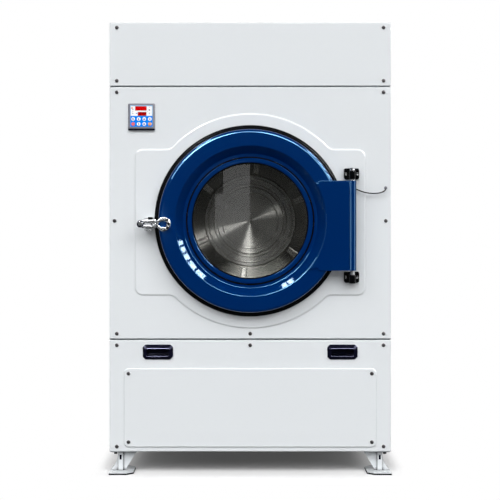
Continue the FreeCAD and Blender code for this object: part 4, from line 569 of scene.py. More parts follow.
# Hinge leaf: plate cut round the dish, edges eased, running into a tube with rounded ends
leaf = {
    "left": 237, "right": 348, "low": 725, "high": 1041, "corner": 10, "front": -65, "back": -60, "edge": 1.2,
    "cut": 267, "tube": 14, "bore": 8.2}
leafLow, leafHigh, tube, bore = (leaf[key] for key in ("low", "high", "tube", "bore"))
cutLow, cutHigh = (math.degrees(math.asin((end - doorZ) / leaf["cut"])) for end in (leafLow, leafHigh))
leafOutline = roundedOutline(
    [(leaf["left"], leafLow, leaf["corner"]), (leaf["right"], leafLow, 0), (leaf["right"], leafHigh, 0),
    (leaf["left"], leafHigh, leaf["corner"])])
leafOutline = [spot for spot in leafOutline if math.hypot(spot[0] - doorX, spot[1] - doorZ) > leaf["cut"]]
leafOutline += arcPoints(doorX, doorZ, leaf["cut"], cutLow + 1, cutHigh - 1, 40)[::-1]
work = plate([leafOutline], leaf["front"], leaf["back"], leaf["edge"])
tubeRings = (
    (bore, leafLow + 1), (bore, leafLow), (tube - 1, leafLow), (tube, leafLow + 1), (tube, leafHigh - 1),
    (tube - 1, leafHigh), (bore, leafHigh), (bore, leafHigh - 1))
skin([uprightRing(pinX, pinDepth, radius, z, 48) for radius, z in tubeRings], capEnds=False, into=work)
hingeLeaf = addPiece("hingeLeaf", work, "blue_enamel", "door", "hinge_leaf")
edgePieces.append(hingeLeaf)

# Bracket bolts: round socket heads set in the ears
boltProfile = [(0, -17.5), (2.2, -17.5), (2.4, -21), (4.6, -21.4), (5.4, -20.6), (5.4, -12), (0, -12)]
work = bmesh.new()
for box in looseBoxes("hinge_bolts"):
    turned(boltProfile, *middleOf(box), 32, closed=False, into=work)
metalPieces = [addPiece("bracketBolts", work, "bright_steel", "cabinet", "hinge_bolts")]
print("hinge dressed")

# Latch: ring plate with a neck on the door, clasp of two rounded bars with a round knob
ring = {
    "x": -303, "z": 889, "radius": 25, "front": -70, "back": -60, "edge": 4, "neckTurn": 148,
    "neckEnd": -327.4, "neckHalf": 11.5, "tongueX": -337, "tongueHalf": (7, 3.8), "tongue": (-69, -62)}
ringX, ringZ = ring["x"], ring["z"]
ringOutline = arcPoints(ringX, ringZ, ring["radius"], -ring["neckTurn"], ring["neckTurn"], 37)
ringOutline += [(ring["neckEnd"], ringZ + ring["neckHalf"]), (ring["neckEnd"], ringZ - ring["neckHalf"])]
opening = roundedOutline(
    [(ringX - 21, ringZ, 1.5), (ringX - 9, ringZ - 10.3, 5), (ringX + 9.5, ringZ - 10.3, 5),
    (ringX + 9.5, ringZ + 10.3, 5), (ringX - 9, ringZ + 10.3, 5)])
work = plate([ringOutline, opening], ring["front"], ring["back"], ring["edge"])
plate([roundedBox(ring["tongueX"], ringZ, *ring["tongueHalf"], 2)], *ring["tongue"], 0.8, work)
metalPieces.append(addPiece("latchRing", work, "chrome", "door", "latch_base"))
ringBolt = {
    "places": ((12.2, 15), (17.2, 0.5), (12.2, -13)),
    "profile": ((0, -70.8), (1.4, -70.8), (1.6, -72), (3.4, -72.2), (4, -71.4), (4, -65), (0, -65))}
work = bmesh.new()
for across, up in ringBolt["places"]:
    turned(ringBolt["profile"], ringX + across, ringZ + up, 24, closed=False, into=work)
addPiece("latchRingBolts", work, "dark_screw", "door", finish=mouldedRubber)

# the bars end in knuckles round the pin, so nothing sweeps into the ring as the clasp opens
arm = {
    "left": -380, "pin": -338, "pinDepth": -66, "knuckle": 9.4, "front": -75, "back": -58, "edge": 4.6,
    "low": 2.4, "lowAtPin": 4.4, "high": 16, "wide": -346.5, "webX": -362, "webHalf": (15.5, 5),
    "web": (-64.5, -59.5)}
armLow, armHigh, knuckle = arm["lowAtPin"], arm["high"], arm["knuckle"]
bar = roundedOutline(
    [(arm["left"], armHigh, 5.6), (arm["left"], arm["low"], 4), (arm["wide"] - 3, arm["low"], 1),
    (arm["wide"], armLow, 1), (arm["pin"], armLow, 0), (arm["pin"], armHigh, 0)])
knuckleRings = (
    (knuckle - 0.4, armLow), (knuckle, armLow + 0.4), (knuckle, armHigh - 3.2), (knuckle - 1, armHigh - 1),
    (knuckle - 3.4, armHigh))
work = bmesh.new()
for side in (-1, 1):
    plate([[(x, ringZ + side * up) for x, up in bar]], arm["front"], arm["back"], arm["edge"], work)
    skin(
        [uprightRing(arm["pin"], arm["pinDepth"], radius, ringZ + side * up, 40)
        for radius, up in knuckleRings], into=work)
plate([roundedBox(arm["webX"], ringZ, *arm["webHalf"], 1)], *arm["web"], 0.8, work)
metalPieces.append(addPiece("latchArm", work, "chrome", "latch", "latch_arm"))
knob = {
    "x": -384, "face": ((8.2, -72.5, 0), (8.2, -77.4, 1.6), (0.01, -78.2, 0), (0.01, -72.5, 0)),
    "cup": ((13, -54, 2), (13, -76, 3), (8.4, -76, 0.8), (8.4, -73, 0), (0.01, -73, 0), (0.01, -54, 0))}
addPiece("latchKnob", turned(roundedOutline(knob["cup"], 4), knob["x"], ringZ, 64), "black_plastic", "latch")
addPiece(
    "latchKnobFace", turned(roundedOutline(knob["face"], 4), knob["x"], ringZ, 64), "chrome", "latch",
    finish=zincPlate)

# Strike: fork of two eased prongs on a plate, a black pad on the upper one, a rubber buffer between
strike = {"prong": 7, "plate": 8, "pad": 13, "padDepth": 24, "padSkin": 0.6}
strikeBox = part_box("latch_strike")
strikeX, strikeZ = middleOf(strikeBox)
strikeHalf, strikeTall = ((strikeBox[1] - strikeBox[0]) * 500).xz
strikeRight, strikeFront, strikeBack = strikeBox[1].x * 1000, depthOf(strikeBox[0].y), depthOf(strikeBox[1].y)
work = plate(
    [roundedBox(strikeX, strikeZ, strikeHalf, strikeTall, 3)], strikeBack - strike["plate"], strikeBack, 1)
for side in (-1, 1):
    prongZ = strikeZ + side * (strikeTall - strike["prong"] / 2)
    plate(
        [roundedBox(strikeX, prongZ, strikeHalf, strike["prong"] / 2, 1.6)], strikeFront, strikeBack - 2, 1.2,
        work)
metalPieces.append(addPiece("latchStrike", work, "bright_steel", "cabinet", "latch_strike"))
pad = roundedBox(
    strikeRight - strike["pad"] / 2, strikeZ + strikeTall - 3, strike["pad"] / 2 + strike["padSkin"], 4, 1.4)
addPiece(
    "strikePad", plate([pad], strikeFront - strike["padSkin"], strikeFront + strike["padDepth"], 1),
    "black_rubber", "cabinet")
print("latch dressed")

# Control unit: sloped bezel round a sunk keypad of printed films, two red display windows and round keys
unitX, unitZ = middleOf(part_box("control_bezel"))
keyBoxes = [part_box("key_%d" % number) for number in range(1, 9)]
keySpots = [middleOf(box) for box in keyBoxes]
keyHoles = [circle(x, z, 6.8, 32) for x, z in keySpots]
bezel = {
    "half": 48, "corner": 4, "front": -8.6, "left": 44, "right": 43.2, "top": 44.2, "bottom": 41.2,
    "windowHalf": (40.2, 38.4), "windowCorner": 1.6, "windowRise": 3.5, "floor": -6, "floorBack": -1}
half, rise, (windowHalf, windowTall) = bezel["half"], bezel["windowRise"], bezel["windowHalf"]
left, right, bottom, top = (bezel[key] for key in ("left", "right", "bottom", "top"))
bezelRings = (  # how far left, right, down and up, then corner and depth
    (half, half, half, half, bezel["corner"], 0), (half, half, half, half, bezel["corner"], -1.6),
    (half - 0.8, half - 0.8, half - 0.8, half - 0.8, 3.6, -2.6),
    (left, right, bottom, top, 3, bezel["front"] + 0.5),
    (left - 0.7, right - 0.7, bottom - 0.7, top - 0.7, 2.6, bezel["front"]),
    (windowHalf + 0.9, windowHalf + 0.9, windowTall - rise + 0.9, windowTall + rise + 0.9, 2, bezel["front"]),
    (windowHalf, windowHalf, windowTall - rise, windowTall + rise, bezel["windowCorner"], bezel["floor"]))
rings = []
for left, right, bottom, top, corner, depth in bezelRings:
    outline = roundedOutline(
        [(unitX - left, unitZ - bottom, corner), (unitX + right, unitZ - bottom, corner),
        (unitX + right, unitZ + top, corner), (unitX - left, unitZ + top, corner)])
    rings.append([point(x, depth, z) for x, z in outline])
work = skin(rings, capEnds=False)
windowOutline = roundedBox(unitX, unitZ + rise, windowHalf, windowTall, bezel["windowCorner"])
plate([windowOutline] + keyHoles, bezel["floor"], bezel["floorBack"], 0.05, work)
addPiece("controlBezel", work, "grey_plastic", "cabinet", "control_bezel")

# Sill: a dark bar along the bezel's lower edge, painted shade for the bezel's downward-facing slope
shadeBar = {"drop": 44.8, "half": (46.8, 2.7), "corner": 1.6, "front": -8.4, "back": -2, "edge": 0.8}
shadeBarOutline = roundedBox(unitX, unitZ - shadeBar["drop"], *shadeBar["half"], shadeBar["corner"])
addPiece(
    "bezelShadeBar", plate([shadeBarOutline], shadeBar["front"], shadeBar["back"], shadeBar["edge"]), "black_plastic", "cabinet")

# Printed polyester film: flat inks under a satin skin, drawn with a 3 mm mottle so that it isn't one tone
filmSkin = {"cloudMm": 12, "rough": (0.18, 0.26), "grainMm": 3, "relief": 0.02, "ior": 1.45}
filmBlue = coatedSurface("blueKeypadFilm", "#0090FF", "#007CF4", shine=0.2, **filmSkin)
filmWhite = coatedSurface("whiteKeypadFilm", "#FFFFFF", "#FAFAFF", **filmSkin)
filmPale = coatedSurface("paleBlueKeypadFilm", "#A8D8FA", "#B8D2F2", **filmSkin)
# Screen printed inks for the signs: flat and dull, a little uneven where the ink lay thin.
inkSkin = {"cloudMm": 5, "rough": (0.35, 0.45), "grainMm": 2, "relief": 0.02}
inkBlue = coatedSurface("blueSymbolInk", "#0E5AC8", "#0A4CB4", **inkSkin)
inkGrey = coatedSurface("greySymbolInk", "#9C9AB0", "#8A889E", **inkSkin)
inkDark = coatedSurface("slateSymbolInk", "#4A5670", "#5A6680", **inkSkin)
inkOrange = coatedSurface("orangeSymbolInk", "#F29A7E", "#EE8A6A", **inkSkin)

filmEdge = 0.03  # rounding of films and printed signs
films = (
    {"name": "keypadPaleFilm", "finish": filmPale, "rise": rise, "half": (39.9, 38.1), "corner": 1.4,
     "holes": keyHoles, "depths": (-6.2, -6)},
    {"name": "keypadWhiteFilm", "finish": filmWhite, "rise": 20.9, "half": (37.4, 17), "corner": 1.4,
     "holes": [], "depths": (-6.36, -6.2)},
    {"name": "keypadBlueFilm", "finish": filmBlue, "rise": -15.8, "half": (39.2, 19), "corner": 2,
     "holes": keyHoles, "depths": (-6.36, -6.2)})
for film in films:
    outline = roundedBox(unitX, unitZ + film["rise"], *film["half"], film["corner"])
    addPiece(
        film["name"], plate([outline] + film["holes"], *film["depths"], filmEdge), "grey_plastic", "cabinet",
        finish=film["finish"])


# Red acrylic display windows: the lit one glows brighter, seven-bar digits show through it
def displayAcrylic(name, *colours, glow, power, smearMm=14):
    material, tree, shader = startMaterial(
        name, **{"Roughness": 0.14, "IOR": 1.49, "Emission Color": linear(glow), "Emission Strength": power})
    where = addNode(tree, "TexCoord").outputs["Object"]
    smear = addNode(tree, "TexNoise", {"Scale": perMetre(smearMm), "Detail": 2}, {"Vector": where})
    tones = addNode(
        tree, "Mix", {6: linear(colours[0]), 7: linear(colours[1])}, {0: smear.outputs[0]}, data_type="RGBA")
    tree.links.new(tones.outputs[2], shader.inputs["Base Color"])
    return material


displayBright = displayAcrylic("litRedAcrylic", "#CC0004", "#AC0006", glow="#E00000", power=0.05)
displayDim = displayAcrylic("dimRedAcrylic", "#8C0006", "#660006", glow="#900000", power=0.02)
digitGlow = displayAcrylic("redDigitGlow", "#F40A06", "#E80604", glow="#FF1008", power=0.25, smearMm=6)

displays = (
    {"name": "upperDisplay", "at": (-2, 30.2), "half": (20.4, 7.6), "shows": "0450", "finish": displayBright},
    {"name": "lowerDisplay", "at": (2.4, 10.7), "half": (15.3, 6.6), "shows": "060", "finish": displayDim})
window = {"corner": 1.2, "front": -7.1, "back": -6.3, "edge": 0.3}
digitBar = {
    "thick": 0.55, "flat": 0.2, "upright": 0.28, "across": 0.27, "up": 0.66, "front": -7.22, "back": -7.05}
litBars = {"0": "abcdef", "4": "bcfg", "5": "acdfg", "6": "acdefg"}
barSpots = {"a": (0, 1, 1), "b": (1, 0.5, 0), "c": (1, -0.5, 0), "d": (0, -1, 1), "e": (-1, -0.5, 0),
            "f": (-1, 0.5, 0), "g": (0, 0, 1)}
for display in displays:
    middleX, middleZ = unitX + display["at"][0], unitZ + display["at"][1]
    wide, tall = display["half"]
    outline = roundedBox(middleX, middleZ, wide, tall, window["corner"])
    addPiece(
        display["name"], plate([outline], window["front"], window["back"], window["edge"]), "grey_plastic",
        "cabinet", finish=display["finish"])
    work = bmesh.new()
    pitch = 2 * wide / len(display["shows"])
    for index, digit in enumerate(display["shows"]):
        digitX = middleX - wide + pitch * (index + 0.5)
        for bar in litBars[digit]:
            across, up, flat = barSpots[bar]
            size = (digitBar["thick"], tall * digitBar["upright"])
            if flat:
                size = (pitch * digitBar["flat"], digitBar["thick"])
            barX, barZ = digitX + across * pitch * digitBar["across"], middleZ + up * tall * digitBar["up"]
            outline = roundedBox(barX, barZ, *size, 0.3, 3)
            plate([outline], digitBar["front"], digitBar["back"], 0.04, work)
    addPiece(display["name"] + "Digits", work, "grey_plastic", "cabinet", finish=digitGlow)


# Small generic signs: each is a list of closed outlines round its own middle
def addSigns(name, marks, front, back, slot, body, ink):
    work = bmesh.new()
    for outline, x, z in marks:
        plate([[(a + x, b + z) for a, b in outline]], front, back, filmEdge, work)
    addPiece(name, work, slot, body, finish=ink)


def smallBar(halfWidth, halfHeight, radius, x=0, z=0):
    return roundedBox(x, z, halfWidth, halfHeight, radius, 3)


drop = arcPoints(0, -1.2, 2.1, -200, 20, 11) + [(0, 4.2)]
bowl = [
    (3.6 * math.cos(math.radians(turn)), 3.2 * math.sin(math.radians(turn)) + 1)
    for turn in range(180, 361, 15)]
dome = arcPoints(0, -1.4, 3.4, 0, 180, 12)
keySigns = {1: [bowl, smallBar(3.4, 0.5, 0.3, z=2.6)], 2: [drop], 3: [dome, smallBar(3.6, 0.55, 0.3, z=-2.6)],
            4: [drop], 6: [smallBar(1.1, 3.8, 0.5)], 7: [smallBar(2.7, 2.5, 0.5, -0.4, -0.4)],
            8: [smallBar(2.4, 0.7, 0.4, z=4.6), smallBar(2.4, 0.7, 0.4, z=-4.6)]}
key = {
    "radius": 6.5, "height": 3, "round": 1.1, "slots": {5: "red_key", 8: "orange_key"}, "inks": {8: inkDark}}
for number, (x, z) in enumerate(keySpots, 1):
    keyFront = depthOf(keyBoxes[number - 1][0].y)
    keyBack, keyBody = keyFront + key["height"], "button_%d" % number
    keySlot = key["slots"].get(number, "white_key")
    cap = roundedOutline(
        [(key["radius"], keyBack, 0), (key["radius"], keyFront, key["round"]), (0.01, keyFront, 0),
        (0.01, keyBack, 0)], 4)
    addPiece("keyCap%d" % number, turned(cap, x, z, 48), keySlot, keyBody, "key_%d" % number)
    if number in keySigns:
        addSigns(
            "keySign%d" % number, [(outline, x, z) for outline in keySigns[number]], keyFront - 0.12,
            keyFront + 0.1, keySlot, keyBody, key["inks"].get(number, inkBlue))

filmSigns = (  # each mark is an outline and its place from the unit's middle
    ("filmSignsOrange", inkOrange, ((circle(0, 0, 2.9, 24), -33.6, 31.4), (circle(0, 0, 1.3, 16), 29, 34))),
    ("filmSignsGrey", inkGrey, (
        (smallBar(1.6, 2.2, 0.8), -30.4, 26.6), ([(-2.8, -1.6), (2.8, -1.6), (0, 2.2)], -31, 13),
        (smallBar(1, 2.2, 0.6), 28, 12.6), (circle(0, 0, 1, 16), 21, 19),
        (smallBar(2.4, 0.7, 0.4), -31, 20))),
    ("filmSignsSlate", inkDark, ((circle(0, 0, 2.5, 24), 28, 24.6),)),
    ("filmSignsBlue", inkBlue, (
        ([(-3, 0), (0.5, 2.4), (0.5, -2.4)], -17.4, 12), (smallBar(1.8, 0.8, 0.4), -15.4, 12))))
for name, ink, marks in filmSigns:
    addSigns(
        name, [(outline, unitX + x, unitZ + z) for outline, x, z in marks], -6.5, -6.33, "grey_plastic",
        "cabinet", ink)
print("control unit dressed")

# Pull handles: octagonal frames that slope up to a dark mouth with a cup behind
pull = {
    "half": (53.8, 26.5), "corner": 10.5, "mouth": (39.4, 11.6), "mouthCorner": 3, "drop": 2.2, "cup": 42,
    "sharp": 40}
# steps run from the outer edge (0) to the mouth's edge (12), each with its depth
pullSteps = roundedOutline(
    [(0, 0, 0), (0, -3.6, 2), (9.4, -10, 1.8), (11.6, -10, 1), (12, -2, 0.5), (12.6, 38, 0)], 4)
work = bmesh.new()
for box in looseBoxes("pull_handles"):
    middleX, middleZ = middleOf(box)
    rings = []
    for step, depth in [(10, pull["cup"]), (10, 0.2)] + pullSteps:
        share = step / 12
        wide, tall = (outer + (inner - outer) * share for outer, inner in zip(pull["half"], pull["mouth"]))
        corner = pull["corner"] + (pull["mouthCorner"] - pull["corner"]) * share
        flatX, flatZ, stepZ = wide - corner * 0.9, tall - corner * 0.9, middleZ - pull["drop"] * share
        octagon = (
            (-flatX, -tall), (flatX, -tall), (wide, -flatZ), (wide, flatZ), (flatX, tall), (-flatX, tall),
            (-wide, flatZ), (-wide, -flatZ))
        outline = roundedOutline([(middleX + x, stepZ + z, corner * 0.5) for x, z in octagon], 3)
        rings.append([point(x, depth, z) for x, z in outline])
    skin(rings, into=work)
edgePieces.append(addPiece(
    "pullHandles", work, "black_plastic", "lint_drawer", "pull_handles", sharpAngle=pull["sharp"]))
print("pull handles dressed")

# Feet: a black plug in each slot, painted shade for the dark hole behind it, and a thin rubber mat that shows as a
# dark line on the floor, painted shade for each plate's contact shadow
feet = {
    "plugX": 463, "plugZ": 55.5, "plugHalf": (3.7, 8.4), "plug": (25.4, 33), "outer": 501, "inner": 415,
    "mat": (-19.5, 121.5), "corner": 24, "matHeight": 4.8, "depth": 1060, "boltX": 481, "boltDepth": 30,
    "boltRadius": 6}
slotShades, shadowMats, boltHeads = bmesh.new(), bmesh.new(), bmesh.new()
for side in (-1, 1):
    for behind in (False, True):
        ends = feet["plug"] + feet["mat"]
        if behind:
            ends = [feet["depth"] - ends[k] for k in (1, 0, 3, 2)]
        plugFront, plugBack, first, last = ends
        plug = roundedBox(side * feet["plugX"], feet["plugZ"], *feet["plugHalf"], 1.4)
        plate([plug], plugFront, plugBack, 0.5, slotShades)
        inner, eased = feet["inner"], feet["inner"] + feet["corner"]
        plan = [
            (feet["outer"], first), (eased, first), (inner, first + feet["corner"]),
            (inner, last - feet["corner"]), (eased, last), (feet["outer"], last)]
        topPlan = [(x - 0.5 if x == feet["outer"] else x + 0.5, y) for x, y in plan]
        levels = ((plan, 0.05), (plan, 4), (topPlan, feet["matHeight"]))
        skin([[point(side * x, y, z) for x, y in outline] for outline, z in levels], into=shadowMats)
for side in (-1, 1):
    for depth in (feet["boltDepth"], feet["depth"] - feet["boltDepth"]):
        boltX = side * feet["boltX"]
        hexagon = circle(boltX, depth, feet["boltRadius"], 6)
        inset = [(boltX + (x - boltX) * 0.86, depth + (y - depth) * 0.86) for x, y in hexagon]
        levels = ((inset, 66.6), (hexagon, 67.6), (hexagon, 74))
        skin([[point(x, y, z) for x, y in outline] for outline, z in levels], into=boltHeads)
addPiece("footFrontBolts", boltHeads, "dark_screw", "cabinet", finish=blackEnamel)
addPiece("footSlotShades", slotShades, "black_plastic", "cabinet")
addPiece("footShadowMats", shadowMats, "black_rubber", "cabinet")
print("feet dressed")

# Panel screws: low domed heads with a cross recess, drawn once with a radius and height of 1
screw = {
    "height": 2.6, "radius": 4.5, "armHalf": (0.62, 0.12),
    "dome": ((0, -1), (0.38, -0.97), (0.7, -0.8), (0.92, -0.5), (1, -0.2), (1, 0.02), (0, 0.02))}
long, thin = screw["armHalf"]
crossCut = plate([roundedBox(0, 0, long, thin, 0.1, 2)], -1.5, -0.45, 0.01)
plate([roundedBox(0, 0, thin, long, 0.1, 2)], -1.6, -0.46, 0.01, crossCut)
holders = []
for name, shape in (("screwHead", turned(screw["dome"], 0, 0, 32, closed=False)), ("screwCross", crossCut)):
    holders.append(bpy.data.objects.new(name, meshFrom(name, shape)))
    scene.collection.objects.link(holders[-1])
carve = holders[0].modifiers.new("recess", "BOOLEAN")
carve.object = holders[1]
carve.use_self = True
bpy.context.view_layer.update()
screwMesh = bpy.data.meshes.new_from_object(holders[0].evaluated_get(bpy.context.evaluated_depsgraph_get()))
for holder in holders:
    bpy.data.objects.remove(holder)


def addScrews(name, body, spots, outward, *stands):
    # spots are (place on the surface in metres, head radius in mm); outward is the way the heads face
    facing = Vector((0, -1, 0)).rotation_difference(Vector(outward)).to_matrix().to_4x4()
    toOrigin = Matrix.Translation((0, -panelFace, 0))
    work = bmesh.new()
    for turn, (place, radius) in enumerate(spots):
        scaled = Matrix.Diagonal((radius, screw["height"], radius, 1)) @ toOrigin
        copyMesh = screwMesh.copy()
        copyMesh.transform(Matrix.Translation(place) @ facing @ Matrix.Rotation(turn * 0.7, 4, "Y") @ scaled)
        work.from_mesh(copyMesh)
        bpy.data.meshes.remove(copyMesh)
    addPiece(name, work, "dark_screw", body, *stands)


for node, name, body in (
        ("panel_screws", "panelScrews", "cabinet"), ("lower_screws", "lowerScrews", "lint_drawer")):
    spots = [
        (((low.x + high.x) / 2, low.y + screw["height"] / 1000, (low.z + high.z) / 2), (high.x - low.x) * 500)
        for low, high in looseBoxes(node)]
    addScrews(name, body, spots, (0, -1, 0), node)
rearFace, sideFace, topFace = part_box("rear_panel")[1].y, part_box("side_panels")[1].x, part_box("top_panel")[1].z
frontLine, rearLine, heights = panelFace + 0.026, rearFace - 0.026, (0.12, 0.48, 0.85, 1.22, 1.57)
skinScrews = [  # places in metres along the folded edges of the panels, and the way each row faces
    ("rearScrews", [(x, rearFace, z) for x in (-0.482, 0.482) for z in heights]
     + [(x, rearFace, z) for x in (-0.17, 0.17) for z in (0.1, 1.585)], (0, 1, 0)),
    ("leftSideScrews", [(-sideFace, y, z) for y in (frontLine, rearLine) for z in heights], (-1, 0, 0)),
    ("rightSideScrews", [(sideFace, y, z) for y in (frontLine, rearLine) for z in heights], (1, 0, 0)),
    ("topScrews", [(x, y, topFace) for x in (-0.47, 0.47) for y in (frontLine, 0, rearLine)], (0, 0, 1))]
for name, places, outward in skinScrews:
    addScrews(name, "cabinet", [(place, screw["radius"]) for place in places], outward)
print("screws placed")

# Rear: hooded louvres, hexagon gland with a clamping dome, and a screwed collar round the exhaust spigot
louvre = {"half": 214, "firstTop": 1539, "pitch": 24, "count": 6, "hood": 7.5, "height": 11,
          "ends": ((-1, 0.06), (-0.985, 0.75), (-0.965, 1), (0.965, 1), (0.985, 0.75), (1, 0.06))}
rearDepth = depthOf(rearFace)
work = bmesh.new()
for number in range(louvre["count"]):
    top = louvre["firstTop"] - number * louvre["pitch"]
    rings = []
    for x, share in louvre["ends"]:
        outer = []
        for turn in range(0, 91, 15):
            angle = math.radians(turn)
            outer.append(
                (louvre["hood"] * share * math.sin(angle), top - louvre["height"] * (1 - math.cos(angle))))
        inner = [(max(y - 1.1, 0.02), z - 0.9) for y, z in outer[::-1]]
        rings.append([point(x * louvre["half"], rearDepth + y, z) for y, z in outer + inner])
    skin(rings, into=work)
addPiece("louvreHoods", work, "white_enamel", "cabinet")

gland = {
    "bore": 7, "thread": 9.4, "nut": 9, "shoulder": 3.2, "domeRound": 5, "domeEnd": 8.6, "ribs": 12,
    "rib": 1.2}
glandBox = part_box("cable_gland")
glandX, glandZ = middleOf(glandBox)
glandWide = (glandBox[1].x - glandBox[0].x) * 500
glandFront, glandEnd = depthOf(glandBox[0].y), depthOf(glandBox[1].y)
bore, domeWide, nutEnd = gland["bore"], glandWide - gland["shoulder"], rearDepth + gland["nut"]
work = turned(
    [(bore, glandFront), (gland["thread"], glandFront), (gland["thread"], rearDepth), (bore, rearDepth)],
    glandX, glandZ, 48)
plate([circle(glandX, glandZ, glandWide, 6), circle(glandX, glandZ, bore, 48)], rearDepth, nutEnd, 0.8, work)
domeProfile = roundedOutline([
    (bore, nutEnd, 0), (domeWide, nutEnd, 0), (domeWide, glandEnd - 6, gland["domeRound"]),
    (gland["domeEnd"], glandEnd, 1), (bore, glandEnd, 0)], 5)
turned(domeProfile, glandX, glandZ, 48, into=work)
for ribX, ribZ in circle(glandX, glandZ, domeWide, gland["ribs"]):
    plate([circle(ribX, ribZ, gland["rib"], 12)], nutEnd, glandEnd - 8, 0.3, work)
addPiece("cableGland", work, "black_plastic", "cabinet", "cable_gland")

collar = {"x": -150, "z": 235, "radius": 122, "hole": 100.6, "thick": 3, "beads": (40, 46), "screws": 111}
collarX, collarZ, collarFace = collar["x"], collar["z"], rearDepth + collar["thick"]
work = plate(
    [circle(collarX, collarZ, collar["radius"], 96), circle(collarX, collarZ, collar["hole"], 96)], rearDepth,
    collarFace, 0.8)
for beadDepth in collar["beads"]:  # two rolled beads stop a duct sleeve from sliding off
    first, last = rearDepth + beadDepth - 3, rearDepth + beadDepth + 2.4
    rolled = roundedOutline([(99, first, 0), (102, first, 1.4), (102, last, 1.4), (99, last, 0)], 4)
    turned(rolled, collarX, collarZ, 96, into=work)
addPiece("spigotCollar", work, "galvanised", "cabinet")
collarSpots = arcPoints(collarX, collarZ, collar["screws"], 30, 330, 5)
addScrews("collarScrews", "cabinet", [(point(x, collarFace, z), 4) for x, z in collarSpots], (0, 1, 0))
for name in ("side_panels", "top_panel", "rear_panel"):
    softenNode(name, 1.6)
print("rear dressed")


# Drum: perforated shell, and a back wall pressed in rings round a plain disc, with six stiffening spokes
# Circular brushed stainless: fine turning lines round the axis pull the lamps into bright wedges.
def turnedStainless(metal, lineMm, stainMm, colours, rough):
    material, tree, shader = startMaterial(
        "circularBrushedStainless", **{"Metallic": metal, "Anisotropic": 1.0, "Anisotropic Rotation": 0.25})
    where = addNode(tree, "TexCoord").outputs["Object"]
    fromAxis = addNode(
        tree, "VectorMath", {1: (-doorMiddle.x, 0, -doorMiddle.z)}, {0: where}, operation="ADD")
    flat = addNode(tree, "VectorMath", {1: (1, 0, 1)}, {0: fromAxis.outputs[0]}, operation="MULTIPLY")
    radius = addNode(tree, "VectorMath", links={0: flat.outputs[0]}, operation="LENGTH")
    # lines of the real turning are 0.1 mm apart; drawn at 7 mm so that they show without glitter
    lines = addNode(
        tree, "TexNoise", {"Scale": perMetre(lineMm), "Detail": 2}, {"W": radius.outputs["Value"]},
        noise_dimensions="1D")
    stains = addNode(tree, "TexNoise", {"Scale": perMetre(stainMm), "Detail": 3}, {"Vector": where})
    both = addNode(tree, "Mix", {0: 0.5}, {2: lines.outputs[0], 3: stains.outputs[0]}, data_type="FLOAT")
    tonesAndRough(tree, shader, both.outputs[0], colours, rough, cloudRange)
    aroundAxis = addNode(tree, "Tangent", direction_type="RADIAL", axis="Y")
    tree.links.new(aroundAxis.outputs[0], shader.inputs["Tangent"])
    return material


# Perforated stainless: rows of 5 mm holes at 11 mm, dark where one looks through them.
def perforatedStainless(pitchMm, holeMm, stainMm, colours, rough):
    material, tree, shader = startMaterial("perforatedStainless")
    where = addNode(tree, "UVMap", uv_map="holes").outputs[0]
    rows = addNode(tree, "VectorMath", {1: (1 / pitchMm,) * 3}, {0: where}, operation="MULTIPLY")
    cell = addNode(tree, "VectorMath", links={0: rows.outputs[0]}, operation="FRACTION")
    centred = addNode(tree, "VectorMath", {1: (0.5, 0.5, 0)}, {0: cell.outputs[0]}, operation="SUBTRACT")
    away = addNode(tree, "VectorMath", links={0: centred.outputs[0]}, operation="LENGTH")
    edge, blur = holeMm / pitchMm / 2, 0.05
    edges = {"From Min": edge - blur, "From Max": edge + blur}
    sheet = addNode(tree, "MapRange", edges, {"Value": away.outputs["Value"]}).outputs[0]
    place = addNode(tree, "TexCoord").outputs["Object"]
    stains = addNode(tree, "TexNoise", {"Scale": perMetre(stainMm), "Detail": 3}, {"Vector": place})
    metal = addNode(
        tree, "Mix", {6: linear(colours[0]), 7: linear(colours[1])}, {0: stains.outputs[0]}, data_type="RGBA")
    tones = addNode(tree, "Mix", {6: linear("#060607")}, {0: sheet, 7: metal.outputs[2]}, data_type="RGBA")
    roughness = addNode(tree, "MapRange", {"To Min": 0.9, "To Max": rough}, {"Value": sheet})
    tree.links.new(tones.outputs[2], shader.inputs["Base Color"])
    tree.links.new(sheet, shader.inputs["Metallic"])
    tree.links.new(roughness.outputs[0], shader.inputs["Roughness"])
    return material


drumDisc = turnedStainless(
    metal=0.82, lineMm=7, stainMm=60, colours=("#C2C0BC", "#989692"), rough=(0.19, 0.22))
# the back wall takes the disc's turned stainless in darker tones: painted shade that keeps the wall darker than
# the disc and spokes
shadedDrumWall = turnedStainless(
    metal=0.95, lineMm=7, stainMm=60, colours=("#8E8C88", "#6C6A66"), rough=(0.19, 0.24))
drumSheet = perforatedStainless(pitchMm=11, holeMm=5, stainMm=80, colours=("#72716F", "#52514F"), rough=0.3)

drum = {
    "outside": 430, "wall": 3, "front": 104, "back": 800, "disc": 190, "discRise": 12, "spokes": 6,
    "firstSpoke": 83, "rise": 24, "cone": 300, "coneRound": 20, "bore": 20, "turns": 192}
backFace = drum["back"] - drum["wall"]
discFace, coneFace = backFace - drum["discRise"], backFace - drum["rise"]
inside = drum["outside"] - drum["wall"]
discSteps = (  # radius, depth behind the disc's face, rounding: a hub, a slope, then raised rings
    (0.01, 5, 0), (7, 5, 2), (10, 9.4, 1), (113, 1.8, 2), (116, -0.6, 2), (119, 1.3, 2), (137, 0, 2),
    (141, 3.5, 2), (147, 3.5, 2), (150, 0.5, 2), (153, 3.5, 2), (171, 3.5, 2), (174, 0.5, 2), (177, 3.5, 2),
    (drum["disc"] - 2, 3.5, 3), (drum["disc"] + 3, drum["discRise"], 3),
    (drum["disc"] + 3.1, drum["discRise"] + 1, 0), (0.01, drum["discRise"] + 1, 0))
discProfile = roundedOutline(
    [(radius, discFace + depth, rounding) for radius, depth, rounding in discSteps], 4)
wallSkin, wallEnd = 0.4, drum["cone"] + 50  # the plain wall lies just in front of the perforated one
